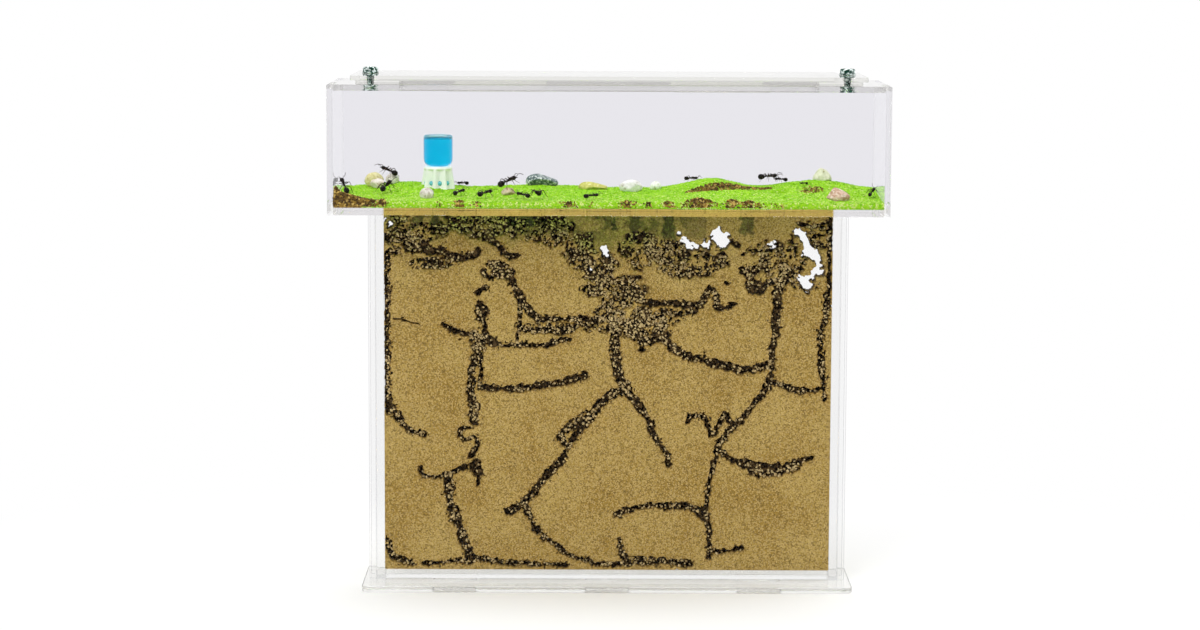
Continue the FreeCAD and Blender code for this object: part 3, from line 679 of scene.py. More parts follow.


# ------------------------------------------------------------------ nest sand with its galleries
# Read off the photo.  Each run: width, (x, z) points that the ants followed, share of
# pale clumps lying in it
RUNS = (
    (2.3, ((-92.3, 139), (-92.3, 78), (-90.4, 75.3), (-86.7, 69.7), (-83.6, 65.9), (-76.8, 63.9)), 0.45),
    (2.6, ((-90, 157), (-88, 154), (-85, 154.5)), 0.2),
    (3.6, ((-81.7, 142.3), (-77.4, 142.8), (-74.3, 141.5), (-69.9, 140.9)), 0.1),
    (2.7, ((-69.9, 140.9), (-66.2, 139), (-61.3, 138.4), (-56.3, 139.6), (-54.2, 141.4)), 0.1),
    (2.1, ((-51.3, 146.6), (-47.6, 144.7), (-44.5, 142.1), (-41.4, 139.6), (-38.3, 139)), 0.2),
    (1.8, ((-52, 132.7), (-51.3, 130.8), (-48.9, 130.2), (-46.4, 132.7), (-43.3, 135.2)), 0.2),
    (1.9, ((-54.4, 123.9), (-52.6, 125.4), (-51, 126)), 0.2),
    (2.5, ((-40.8, 132.1), (-39.6, 127), (-37.1, 122.6), (-35.2, 118.5), (-31.5, 114.4)), 0.2),
    (2.3, ((-31.5, 114.4), (-28.4, 112.5), (-24.7, 112.8), (-16, 112.8), (-7.9, 112.8), (3, 113)), 0.3),
    (1.5, ((-36.8, 118.8), (-37.1, 110), (-37.4, 107.5), (-38, 102.4)), 0.5),
    (3.4, ((-53.2, 117.4), (-52.2, 116), (-53.2, 113.6)), 0.25),
    (2.4, ((-53.2, 113.8), (-52, 111.2), (-51.3, 107.5)), 0.3),
    (3.2, ((-51.3, 107.5), (-50.1, 103.9), (-47, 102.1)), 0.1),
    (2.1, ((-47, 102.1), (-42.7, 101.5), (-36.5, 101.8), (-30.3, 101.5), (-24.7, 101.8),
           (-19.7, 103.7), (-16.3, 104.3)), 0.25),
    (2.0, ((-68.7, 110.3), (-65.6, 108.7), (-62.5, 107.1), (-58.8, 106.2), (-56.3, 106.5)), 0.15),
    (4.0, ((-55, 106.2), (-55, 101.2), (-55.7, 97.4), (-56.3, 93), (-57.2, 88.5), (-57.5, 83.5),
           (-57, 78.5), (-56, 75.3), (-55.7, 71.5), (-56.2, 69)), 0.45),
    (1.8, ((-53.2, 97.4), (-53.2, 88.5), (-53.8, 84.1)), 0.4),
    (2.5, ((-53.8, 83.5), (-49.5, 83.5), (-43.3, 83.5), (-36.5, 83.2), (-30.3, 84.1),
           (-22.8, 85.4), (-16, 86.7), (-9.8, 88.9)), 0.2),
    (1.9, ((-57.5, 66.5), (-60.6, 66.2), (-61.9, 64), (-60, 61.8), (-57.5, 62.4), (-55.7, 62.7),
           (-54.7, 60.2), (-55.7, 57), (-57.2, 54.5)), 0.3),
    (3.6, ((-55.3, 51.2), (-54.7, 49.2), (-54.2, 47.4)), 0.15),
    (1.3, ((-54.2, 47), (-54.3, 42.2)), 0.0),
    (2.0, ((-78.6, 49.5), (-77.4, 46.3), (-72.4, 45.7), (-68.1, 46.3), (-64.2, 47.8), (-60.4, 49.6)), 0.35),
    (3.9, ((-66.8, 45.7), (-66.5, 40), (-66.2, 35), (-63.7, 28), (-61.3, 21.7), (-59.4, 16.7),
           (-57.8, 10.6)), 0.3),
    (1.9, ((-76.8, 8.5), (-69.9, 9.1), (-62.5, 10.1), (-58.2, 9.4), (-52.6, 10.7), (-43.3, 9.1),
           (-34, 8.8), (-24.7, 8.5), (-17.2, 8)), 0.4),
    (2.5, ((-92.3, 18.6), (-91, 14.5), (-89.2, 11.5), (-85.4, 10.0), (-81.7, 8.5)), 0.5),
    (3.5, ((3, 81.5), (-0.2, 79.5), (-4.2, 76), (-6.7, 71.5), (-9.8, 68.4)), 0.35),
    (2.7, ((-9.8, 68.4), (-12.3, 65.2), (-16, 59.6), (-19.1, 53.9), (-23.4, 48.2), (-27.8, 43.2),
           (-31.5, 38.8), (-34.6, 35), (-38.3, 32.4), (-41.7, 30.6)), 0.25),
    (3.0, ((-9, 72.5), (-13, 70), (-17, 66), (-19.1, 62.7), (-17.8, 59.6)), 0.6),
    (2.5, ((-34, 33.1), (-32.1, 28.7), (-30.3, 24.2), (-25.9, 19.8)), 0.3),
    (1.9, ((-25.9, 19.8), (-22.2, 16.7), (-16.6, 12.9), (-10.4, 10.4), (-4.2, 8.8), (3, 8.4)), 0.35),
    (4.0, ((3, 113), (3, 105.7), (3, 99.2), (3.6, 94), (4.9, 88.8), (7, 85)), 0.35),
    (4.4, ((7, 85), (5.5, 82.8), (3, 81.5)), 0.35),
    (3.0, ((7, 85), (9.4, 80.8), (12.6, 76.9), (16.5, 71.7), (18.4, 67.1)), 0.3),
    (2.2, ((18.4, 67.1), (20.3, 62.5), (22.9, 58.6), (25.1, 55.4), (25.4, 50.8)), 0.2),
    (2.2, ((33.8, 69.7), (35.1, 71.7), (38.3, 72), (40.8, 71.4), (42.1, 69.1), (43.1, 65.8),
           (44.7, 64.8), (46.6, 67.8), (47.9, 70.4), (49.5, 72.7), (51.1, 70.4), (53, 69.1)), 0.3),
    (3.6, ((70.4, 124), (71, 118.8), (70.4, 112.3)), 0.1),
    (2.9, ((70.4, 112.3), (69.7, 105.7), (69.1, 99.2), (68.8, 94), (67.8, 86.7), (65.9, 82.8),
           (63.3, 79.5), (60.7, 76.2), (58.2, 72.7), (53.7, 68.4), (51.1, 65.8)), 0.3),
    (2.1, ((51.1, 65.8), (48.5, 61.9), (46.6, 58.6), (45.3, 54.1), (44.4, 48.8), (43.1, 44.3),
           (42.1, 38.4), (41.8, 33.2), (42.4, 26.7), (43.1, 20.1), (43.4, 11)), 0.35),
    (2.1, ((47.9, 56.7), (51.1, 54.1), (55.6, 52.1), (60.7, 51.4)), 0.25),
    (3.6, ((57, 51.6), (62, 50.6), (67.1, 50.0), (73.6, 50.0), (78.7, 51.4)), 0.15),
    (3.0, ((60.7, 48.7), (67, 47.6), (75, 48.2), (80, 50.4)), 0.55),
    (2.1, ((78.7, 51.4), (82.5, 53.4), (85.7, 54.1)), 0.2),
    (2.4, ((4.3, 29.9), (6.8, 31.2), (10.7, 32.5), (15.8, 33.5), (22.2, 33.7), (29.9, 33.5),
           (36.3, 32.9), (40.2, 31.0)), 0.35),
    (3.0, ((39.2, 31), (40.6, 28.5)), 0.0),
    (2.0, ((43.7, 14.3), (47.9, 14.3), (53, 14.6), (56.9, 15.6)), 0.2),
    (2.3, ((5.6, 19.5), (5.6, 15.6), (6.8, 12.3), (8.8, 9.7)), 0.4),
    (1.8, ((-3.4, 8.7), (3, 8.4), (9.4, 9.1)), 0.4),
    (2.9, ((9.4, 9.3), (13.3, 9.9), (22.2, 9.6), (28.7, 9.3), (35.1, 8.9)), 0.4),
    (2.0, ((69, 87), (74.8, 84.4), (79.3, 82.8), (84.5, 82.8), (88.3, 83.4)), 0.4),
    (2.2, ((92, 124), (90.9, 112.3), (89.2, 108.3), (89.3, 99.2), (89.6, 92.7), (90.6, 86.2),
           (90.8, 79)), 0.45),
    (1.6, ((92.4, 156), (92.2, 140), (92.4, 124)), 0.3),
    (2.2, ((38.9, 118.8), (40.8, 122.7), (42.8, 125.3), (44.7, 123.3), (45.3, 120.7),
           (44.9, 118.6)), 0.45),
    (2.3, ((44.9, 118.6), (47.3, 117.5), (50.5, 118.1), (52.4, 119.4)), 0.2),
    (2.5, ((11, 122), (13.9, 120.7), (17.7, 119.4), (25.4, 119.4), (32.5, 118.8), (38.9, 118.1)), 0.15),
    (2.2, ((36.5, 116.6), (28.7, 114.9), (24.2, 116.2)), 0.45),
    (2.3, ((22.9, 116.5), (23.5, 110.9), (22.9, 106)), 0.15),
    (3.3, ((3, 113), (6.2, 110.9), (10.1, 107), (13.9, 104.4), (17.7, 103.4), (22.2, 104.4),
           (27.4, 101.2)), 0.35),
    (4.4, ((21, 106.2), (24.5, 105.6)), 0.0),
    (3.2, ((27.4, 101.2), (32.5, 97.9), (37.6, 95.9), (44.1, 94.6), (51.1, 93.3), (56.9, 91.7),
           (62, 92), (68.5, 94)), 0.25),
    (4.6, ((60.6, 126.4), (63.5, 126)), 0.0),
    (2.6, ((56.2, 133.8), (59.4, 131.8), (58.8, 128.6), (61.4, 126), (66.5, 127.9), (69.4, 129.2)), 0.3),
    (4.0, ((73, 135.7), (72.9, 129.9), (71, 124)), 0.45),
    (1.9, ((51.1, 145.5), (54.3, 143.6)), 0.1),
    (1.8, ((79.3, 153.3), (85.1, 152), (90.9, 154)), 0.3),
    (1.3, ((56, 140.3), (56.6, 139.8)), 0.0),
    (1.1, ((49.2, 128.4), (49.8, 127.8)), 0.0),
    (1.5, ((14.2, 100.3), (14.9, 99.6)), 0.0),
    (0.15, ((-89.7, 112.6), (-85.5, 112.4), (-82.6, 111.2), (-79.3, 110.6)), 0.0),
)

# Dug right through to the back sheet: width and (x, z) points
WINDOWS = (
    (1.9, ((30.6, 148.1), (32.5, 145.5), (36.4, 143.9), (41.5, 144.5), (44.1, 146.8))),
    (4.4, ((45.5, 147.8), (48.3, 146.8), (47.3, 144.6))),
    (2.9, ((79.3, 149), (81.9, 146.8), (82.5, 142.9))),
    (4.6, ((83.2, 141.2), (86.6, 139.6))),
    (3.8, ((88.0, 138.6), (88.3, 133.8), (85.1, 131.2), (81.2, 129.9))),
    (3.2, ((82, 130), (83.2, 127))),
    (1.9, ((-92, 152.6), (-91.2, 152.2))),
    (2.0, ((-1.6, 141.8), (-0.8, 139.9))),
    (1.7, ((-7.8, 133.5), (-7.4, 133))),
    (1.9, ((69.0, 143.8), (70.3, 143.4))),
)

# Loose diggings: x, z, half-width, half-height, share of dark gaps
LOOSE = (
    (-85.5, 147.5, 7.5, 9.0, 0.42), (-75.0, 149.5, 9.0, 5.0, 0.40), (-74.0, 136.0, 12.0, 2.8, 0.40),
    (-56.0, 152.5, 11.0, 6.0, 0.45), (-43.0, 152.0, 12.0, 6.0, 0.42), (-45.0, 133.5, 6.0, 4.5, 0.38),
    (-27.0, 150.5, 14.0, 7.0, 0.45), (-11.0, 141.0, 7.0, 9.0, 0.42), (-3.0, 131.0, 8.0, 11.0, 0.46),
    (5.0, 124.0, 11.0, 9.0, 0.50), (2.0, 115.5, 9.0, 5.0, 0.48), (14.0, 142.0, 9.0, 8.0, 0.44),
    (24.0, 139.5, 9.0, 9.0, 0.46), (30.0, 133.0, 11.0, 3.4, 0.40), (43.0, 136.5, 7.0, 5.5, 0.46),
    (68.5, 137.5, 7.0, 9.0, 0.46), (77.0, 138.0, 5.0, 9.0, 0.34), (87.0, 147.0, 6.5, 7.0, 0.25),
    (20.0, 112.5, 9.0, 4.0, 0.38), (-25.0, 108.8, 13.0, 2.6, 0.34), (-5.0, 109.0, 12.0, 2.6, 0.34),
    (-54.5, 103.5, 4.0, 6.0, 0.40), (62.0, 142.0, 5.0, 4.0, 0.36), (14.0, 111.0, 9.0, 7.0, 0.38),
    (60.5, 134.0, 4.0, 4.0, 0.30), (83.0, 127.5, 6.0, 2.5, 0.25),
)

# Shafts of dark green sand under the arena floor: x of the middle, half-width at the top
# and at the foot, z of the foot, how dark
SHAFTS = ((2.4, 0.9, 0.9, 150.5, 0.9), (10.6, 2.1, 1.7, 144.5, 0.75), (25.2, 2.1, 3.0, 146.0, 0.85),
          (36.4, 3.9, 4.8, 147.5, 0.45), (57.6, 2.4, 2.9, 147.5, 0.75), (-24.0, 5.0, 7.0, 148.0, 0.55))

DIG_DEPTH = 5.0
CELL = 0.30                     # spacing of the sand's surface points
STRIPS = 4                      # the slab's surface is made in so many upright strips
SLAB_PLAY = 0.06                # air left round the slab's edges
SAND_BACK = sand_high[1] - GAP
SAND_FRONT = sand_low[1] + GAP


def away_from(line, x, z, reach):
    """Distance of each point to a line of (x, z) points, where it is under the reach."""
    samples = smooth_line(line, 0.5)
    low, high = samples.min(0) - reach, samples.max(0) + reach
    near = (x > low[0]) & (x < high[0]) & (z > low[1]) & (z < high[1])
    px, pz = x[near], z[near]
    best = np.full(px.shape, 1e9)
    for a, b in zip(samples, samples[1:]):
        step = b - a
        t = np.clip(((px - a[0]) * step[0] + (pz - a[1]) * step[1]) / (step @ step + 1e-12), 0, 1)
        best = np.minimum(best, (px - a[0] - t * step[0]) ** 2 + (pz - a[1] - t * step[1]) ** 2)
    out = np.full(x.shape, 1e9)
    out[near] = np.sqrt(best)
    return out


def ragged_edge(x, z):
    """Unevenness of a dug edge, in millimetres."""
    return (noise((x, z), 1.5, 3) - 0.5) * 1.1 + (noise((x, z), 0.75, 5) - 0.5) * 1.0


def dig(x, z):
    """What the ants did to the sand at each (x, z): how far it is dug (0 to 1), the distance to
    where it is open right through, and how green, dark green and rusty it is."""
    spot = (x, z)
    ragged = ragged_edge(x, z)
    crumbs = layered(spot, 1.1, 11, 2)
    swell = noise(spot, 4.5, 7) - 0.5
    pits = noise(spot, 0.75, 13)
    dug = np.zeros_like(x)
    rust = np.zeros_like(x)
    for width, line, clumps in RUNS:
        distance = away_from(line, x, z, width + 4) + ragged * min(1.0, width / 2.4) - swell * width * 0.45
        hollow = ramp(distance, width / 2 + 0.25, width / 2 - 0.15)
        beside = ramp(distance, width / 2 + 1.9, width / 2)
        dug = np.maximum(dug, ramp(pits + 0.20 * beside, 1.0, 1.05) * (beside > 0))
        most = 0.92 - 0.38 * clumps
        dug = np.maximum(dug, hollow * ramp(crumbs, most + 0.04, most - 0.04))
        rust = np.maximum(rust, ramp(distance, width / 2 + 2.6, width / 2) * 0.45)
    for cx, cz, wide, high, share in LOOSE:
        inside = 1 - np.sqrt(((x - cx) / wide) ** 2 + ((z - cz) / high) ** 2)
        inside = ramp(inside + (layered(spot, 4.0, 17) - 0.5) * 1.2, 0.0, 0.30)
        least = 0.40 + 0.36 * share + (noise(spot, 3.6, 19) - 0.45) * 0.55
        gaps = ramp(noise(spot, 1.1, 23) * 0.55 + noise(spot, 0.6, 29) * 0.45, least + 0.04, least - 0.04)
        dug = np.maximum(dug, inside * gaps)
        rust = np.maximum(rust, inside * 0.25)
    open_through = np.full_like(x, 1e9)
    for width, line in WINDOWS:
        distance = away_from(line, x, z, width + 4) + (noise(spot, 2.2, 37) - 0.5) * 2.6 + ragged * 1.3
        distance += 0.1 - width / 2 + (noise(spot, 1.0, 43) - 0.5) * 2.2
        open_through = np.minimum(open_through, distance)
    top = floor_top - z
    patches = layered(spot, 9.0, 41)
    band = np.interp(x, (-93, -75, -62, -45, 0, 18, 34, 45, 93), (0.6, 0.75, 1, 1, 1, 1, 0.8, 0.25, 0.12))
    depth = np.interp(x, (-93, -60, -20, 5, 15, 40, 93), (13, 17, 17, 26, 20, 16, 10))
    green = ramp(top + (patches - 0.5) * 18 + ragged * 1.5, depth, depth - 15) * band
    dark_green = ramp(layered(spot, 4.5, 47), 0.50, 0.62) * ramp(top, 18, 8) * np.interp(
        x, (-93, -85, -66, -50, -10, 2, 30, 36, 93), (0.2, 0.7, 0.9, 1, 0.9, 0.6, 0.6, 0.1, 0.0))
    for cx, half_top, half_foot, foot, dark in SHAFTS:
        rise = np.clip((floor_top - z) / (floor_top - foot), 0, 1.5)
        half = half_top + (half_foot - half_top) * rise
        edge = np.abs(x - cx) + ragged * 0.9 + (noise(spot, 3.0, 53) - 0.5) * 1.4
        down_to = ramp(z + ragged + (patches - 0.5) * 6, foot - 0.8, foot + 0.8)
        inside = ramp(edge, half + 0.3, half - 0.3) * down_to
        dark_green = np.maximum(dark_green, inside * dark)
    below_floor = ramp(top, FLOOR_SHEET - 0.1, FLOOR_SHEET + 0.3)
    dug, green, dark_green = dug * below_floor, green * below_floor, dark_green * below_floor
    return dug, open_through, green, dark_green * (1 - dug), rust * (1 - dug) * below_floor


def build_nest_sand():
    """The sand slab in upright strips, each a closed field: its front lies flat against the sheet
    and goes in by the digging depth, with the steep crumbly walls that the dug number gives."""
    edge = half_slab - SLAB_PLAY
    top = floor_top - SLAB_PLAY
    foot = slab_foot + SLAB_PLAY
    rows = int((top - foot) / CELL)
    borders = np.linspace(-edge, edge, STRIPS + 1)
    for number, (x0, x1) in enumerate(zip(borders, borders[1:]), 1):
        columns = int((x1 - x0) / CELL)
        z, x = np.meshgrid(np.linspace(foot, top, rows), np.linspace(x0, x1, columns), indexing="ij")
        dug, open_through, green, dark_green, rust = dig(x, z)
        rough = (noise((x, z), 0.9, 61) - 0.5) * 1.2 + (layered((x, z), 5.0, 67) - 0.5) * 2.0
        depth = dug * np.clip(DIG_DEPTH + rough, 2.0, 6.5) + noise((x, z), 0.7, 71) * 0.10
        depth = np.maximum(depth, ramp(open_through, 0.5, 0.1) * (SAND_BACK - SAND_FRONT - 0.3))
        grid = np.stack((x, SAND_FRONT + depth, z), -1)
        cell_open = (open_through[:-1, :-1] + open_through[1:, 1:]) / 2
        shape, source = closed_field(grid, cell_open > 0, 1, SAND_BACK)
        # The dug mark, raised round the windows, also sets where the colour takes the painted shade of the
        # hollows.
        marks = {"dug": np.maximum(dug, ramp(open_through, 0.7, 0.2) * 0.55), "green": green,
                 "dark_green": dark_green, "rust": rust}
        marks = {k: v.ravel()[source] for k, v in marks.items()}
        piece(f"nest_sand_strip_{number}", shape, "habitat", nest_sand_finish, "nest_sand",
              ("nest_sand",), 60, marks)


def build_nest_lumps():
    """Pale grains and pellets that the ants left in the galleries and in the loose diggings."""
    places = []
    for width, line, clumps in RUNS:
        samples = smooth_line(line, 0.4)
        count = int(len(samples) * 0.4 * width * clumps * 2.2)
        middle = samples[rng.integers(0, len(samples), count)]
        places.append(middle + rng.uniform(-0.55, 0.55, (count, 2)) * width)
    in_runs = np.concatenate(places)
    places = []
    for cx, cz, wide, high, _ in LOOSE:
        count = int(wide * high * 3.0)
        reach, way = rng.uniform(0, 1, count) ** 0.5, rng.uniform(0, 2 * math.pi, count)
        places.append(np.stack((cx + wide * reach * np.cos(way), cz + high * reach * np.sin(way)), -1))
    for name, found in (("nest_sand_lumps", in_runs), ("nest_sand_crumbs", np.concatenate(places))):
        x, z = found.T
        size = 0.26 + 0.42 * rng.uniform(0, 1, len(x)) ** 1.5
        within = (np.abs(x) < half_slab - 1) & (z > slab_foot + 1) & (z < floor_top - FLOOR_SHEET - 0.8)
        dug, open_through, green = dig(x, z)[:3]
        within &= (dug > 0.3) & (open_through > 0.4)
        x, z, size, green = x[within], z[within], size[within], green[within]
        y = SAND_FRONT + size * 1.3 + rng.uniform(0, 1, len(x)) ** 2 * 1.8
        shape = scattered(np.stack((x, y, z), -1), size, 0, 0.3)
        piece(name, shape, "habitat", nest_sand_finish, "nest_sand", (), 180,
              {"pale": np.ones(len(shape[0])), "green": np.repeat(green, 12)})


build_nest_sand()
build_nest_lumps()


# ------------------------------------------------------------------ arena filling
LEFT, MIDDLE, RIGHT = -1, 0, 1
SAND_MEAN = 3.6
SAND_SLOPE = 0.035
HILLS = ((LEFT, 28.5, 13.5, 3.0, 17.0), (MIDDLE, -28.0, 11.5, 1.6, 14.0), (RIGHT, 69.5, 15.5, 5.6, 15.0),
         (RIGHT, 25.5, 13.5, 4.4, 19.0), (MIDDLE, 8.0, -15.5, 0.8, 12.0))
ENTRANCES_X = (-72.0, 5.0, 71.0)
ENTRANCE_RADIUS = 1.8
BED_STEP = 0.5                  # spacing of the green sand's surface points
LOOSE_GRAINS = 6500
FRONT_SLIT = 0.4                # room for pellets between the sand's face and the front sheet


def on_floor(end, along, off):
    """X and Y counted from an end wall or the middle, and from the back or the front wall."""
    x = end * (half_bed_x - along) if end else along
    return x, math.copysign(half_bed_y, off) - off


def bed_height(x, y):
    """Depth of the green sand: a mean, a slope along Y and round hills rise * e^-(d/spread)^2."""
    height = SAND_MEAN + SAND_SLOPE * y
    for end, along, off, rise, spread in HILLS:
        hill_x, hill_y = on_floor(end, along, off)
        height = height + rise * np.exp(-((x - hill_x) ** 2 + (y - hill_y) ** 2) / spread**2)
    return height


def bed_top(x, y):
    """Height of the green sand's surface."""
    return floor_top + bed_height(x, y)


def ripples(x, y):
    """Soft unevenness on the green sand, up to about half a millimetre up or down."""
    return (layered((x, y), 7.0, 83) - 0.5) * 1.1


# Node, (x, y) of the middle, (length, depth, height), turn in degrees, pellets, size of a pellet
MOUNDS = (
    ("spoil_heap_left", (-112.3, -24.0), (27.0, 26.0, 5.2), 0, 2300, 0.50),
    ("spoil_heap_centre", (50.5, 3.0), (38.0, 7.2, 0.4), 19, 900, 0.46),
    ("spoil_heap_right", (84.8, -1.5), (10.0, 10.0, 0.3), -10, 170, 0.42),
)


def soil_share(x, y, middle, size, turn):
    """How much soil is mixed into the sand in and round a mound: all of it inside the mound's
    ellipse, and none a third of its size outside it."""
    angle = math.radians(turn)
    along = ((x - middle[0]) * math.cos(angle) + (y - middle[1]) * math.sin(angle)) / size[0] * 2
    across = ((y - middle[1]) * math.cos(angle) - (x - middle[0]) * math.sin(angle)) / size[1] * 2
    share = ramp(np.hypot(along, across) + (layered((x, y), 1.6, 103) - 0.5) * 0.6, 1.05, 0.85)
    return share * ramp(size[2], 0.0, 1.5)


def build_green_sand():
    """The bed's top is its height plus ripples and grain-sized bumps; round each entrance it
    falls away in a small funnel."""
    x = np.linspace(-half_bed_x + 0.05, half_bed_x - 0.05, int(2 * half_bed_x / BED_STEP))
    y = np.linspace(-half_bed_y + FRONT_SLIT, half_bed_y - 0.05, int(2 * half_bed_y / BED_STEP))
    y, x = np.meshgrid(y, x, indexing="ij")
    top = bed_top(x, y) + ripples(x, y) + (noise((x, y), 1.1, 89) - 0.5) * 0.35
    top += (noise((x, y), 0.55, 97) - 0.5) * 0.3
    hole = np.full_like(x, 1e9)
    for place_x in ENTRANCES_X:
        away = np.hypot(x - place_x, y) + (noise((x, y), 1.2, 101) - 0.5) * 0.5
        hole = np.minimum(hole, away - ENTRANCE_RADIUS)
    top = np.minimum(top, floor_top + 0.25 + np.maximum(hole, 0) * 2.2)
    soil = np.max([soil_share(x, y, *mound[1:4]) for mound in MOUNDS], axis=0)
    grid = np.stack((x, y, top), -1)
    keep = (hole[:-1, :-1] + hole[1:, 1:]) / 2 > 0
    shape, source = closed_field(grid, keep, 2, floor_top + 0.03)
    piece("green_sand_bed", shape, "habitat", green_sand_finish, "green_sand", ("arena_sand",), 180,
          {"soil": soil.ravel()[source]})


build_green_sand()


def inside_bed(x, y, margin=0.6):
    """Places moved in so that they lie clear of the arena's walls."""
    return (np.clip(x, margin - half_bed_x, half_bed_x - margin),
            np.clip(y, margin - half_bed_y, half_bed_y - margin))


def build_loose_grains():
    """Loose grains lie all over the green sand, but not round the entrances or the feeder."""
    x = rng.uniform(-half_bed_x, half_bed_x, LOOSE_GRAINS)
    x, y = inside_bed(x, rng.uniform(-half_bed_y, half_bed_y, LOOSE_GRAINS))
    clear_of = np.min([np.hypot(x - e, y) for e in ENTRANCES_X], axis=0) > ENTRANCE_RADIUS + 0.8
    clear_of &= np.hypot(x - feeder_x, y - feeder_y) > 6.0
    x, y = x[clear_of], y[clear_of]
    size = rng.uniform(0.18, 0.36, len(x))
    z = bed_top(x, y) + ripples(x, y) + 0.05
    piece("green_sand_grains", scattered(np.stack((x, y, z), -1), size), "habitat", green_sand_finish,
          "green_sand", (), 180, {"soil": np.zeros(len(x) * 12)})


build_loose_grains()


# ------------------------------------------------------------------ soil that the ants carried up
# Small heaps pressed against the front sheet: x, length, height above the sand, pellets
FRONT_CLUMPS = (
    (-108.0, 16.0, 3.0, 560), (-98.5, 12.0, 0.7, 330), (-92.6, 3.6, 0.9, 60), (-69.3, 2.2, 0.2, 8),
    (-61.3, 5.0, 0.3, 90), (-53.8, 3.5, 0.0, 34), (-16.1, 6.0, 0.2, 90), (-7.7, 3.0, 0.0, 14),
    (7.7, 7.0, 0.4, 130), (16.3, 3.0, 0.0, 40), (24.5, 5.0, 0.4, 95), (36.8, 13.0, 1.8, 480),
    (50.4, 6.5, 1.3, 180), (57.1, 6.0, 0.8, 140), (61.6, 3.0, 0.0, 44), (69.3, 6.0, -0.6, 24))


def mound_height(u, v, height):
    """A low mound in unit coordinates: a hollow slope that runs out to nothing at the rim, with
    crumbly noise on it."""
    away = np.hypot(u, v)
    crumbs = layered((u * 9, v * 9), 2.2, 107)
    return height * np.clip(1 - away, 0, 1) ** 1.5 * (0.35 + 1.2 * crumbs)


def build_soil_mound(node, middle, size, turn, pellets, pellet_size):
    """A skin over the sand from the mound's rim to its top and back under it, and pellets of
    soil lying on the skin."""
    angle = math.radians(turn)
    away, round_it = np.meshgrid(np.linspace(0, 1, 40), np.linspace(0, 2 * math.pi, 121), indexing="ij")
    wobble = 1 + 0.22 * (layered((np.cos(round_it) * 3, np.sin(round_it) * 3), 1.3, 109) - 0.5)

    def at(u, v):
        x = middle[0] + u * size[0] / 2 * math.cos(angle) - v * size[1] / 2 * math.sin(angle)
        y = middle[1] + u * size[0] / 2 * math.sin(angle) + v * size[1] / 2 * math.cos(angle)
        return inside_bed(x, y, 0.15)

    u, v = away * np.cos(round_it) * wobble, away * np.sin(round_it) * wobble
    x, y = at(u, v)
    crest = np.stack((x, y, bed_top(x, y) + mound_height(u, v, size[2]) - 0.45), -1)
    under = np.stack((x, y, bed_top(x, y) - 1.2), -1)
    piece(node + "_skin", closed_surface(np.concatenate((crest, under[::-1]))), "habitat", soil_finish,
          "brown_soil", (node,), 180)
    reach = rng.uniform(0, 1, pellets) ** 0.55 * 1.04
    way = rng.uniform(0, 2 * math.pi, pellets)
    u, v = reach * np.cos(way), reach * np.sin(way)
    x, y = at(u, v)
    x, y = inside_bed(x, y, 0.7)
    z = bed_top(x, y) + mound_height(u, v, size[2]) + rng.uniform(-0.3, 0.25, pellets)
    sizes = pellet_size * rng.uniform(0.5, 1.2, pellets)
    piece(node + "_pellets", scattered(np.stack((x, y, z), -1), sizes, 0, 0.3), "habitat", soil_finish,
          "brown_soil", (), 180)


def build_front_clumps():
    """Pellets heaped against the front sheet: more of them low down and at a clump's middle."""
    centres, sizes = [], []
    for middle, length, height, pellets in FRONT_CLUMPS:
        along = rng.normal(0, 0.24, pellets) * length
        size = rng.uniform(0.28, 0.56, pellets)
        y = -half_bed_y + size * 1.2 + rng.uniform(0, 1, pellets) ** 6 * 2.0
        x, y = inside_bed(middle + along, y, 0.3)
        crest = bed_height(x, y) + height * np.clip(1 - (2 * along / length) ** 2, 0.05, 1)
        centres.append(np.stack((x, y, floor_top + 0.6 + rng.uniform(0, 1, pellets) * (crest - 0.6)), -1))
        sizes.append(size)
    piece("soil_at_the_front", scattered(np.concatenate(centres), np.concatenate(sizes), 0, 0.3), "habitat",
          soil_finish, "brown_soil", (), 180)


for mound in MOUNDS:
    build_soil_mound(*mound)
build_front_clumps()


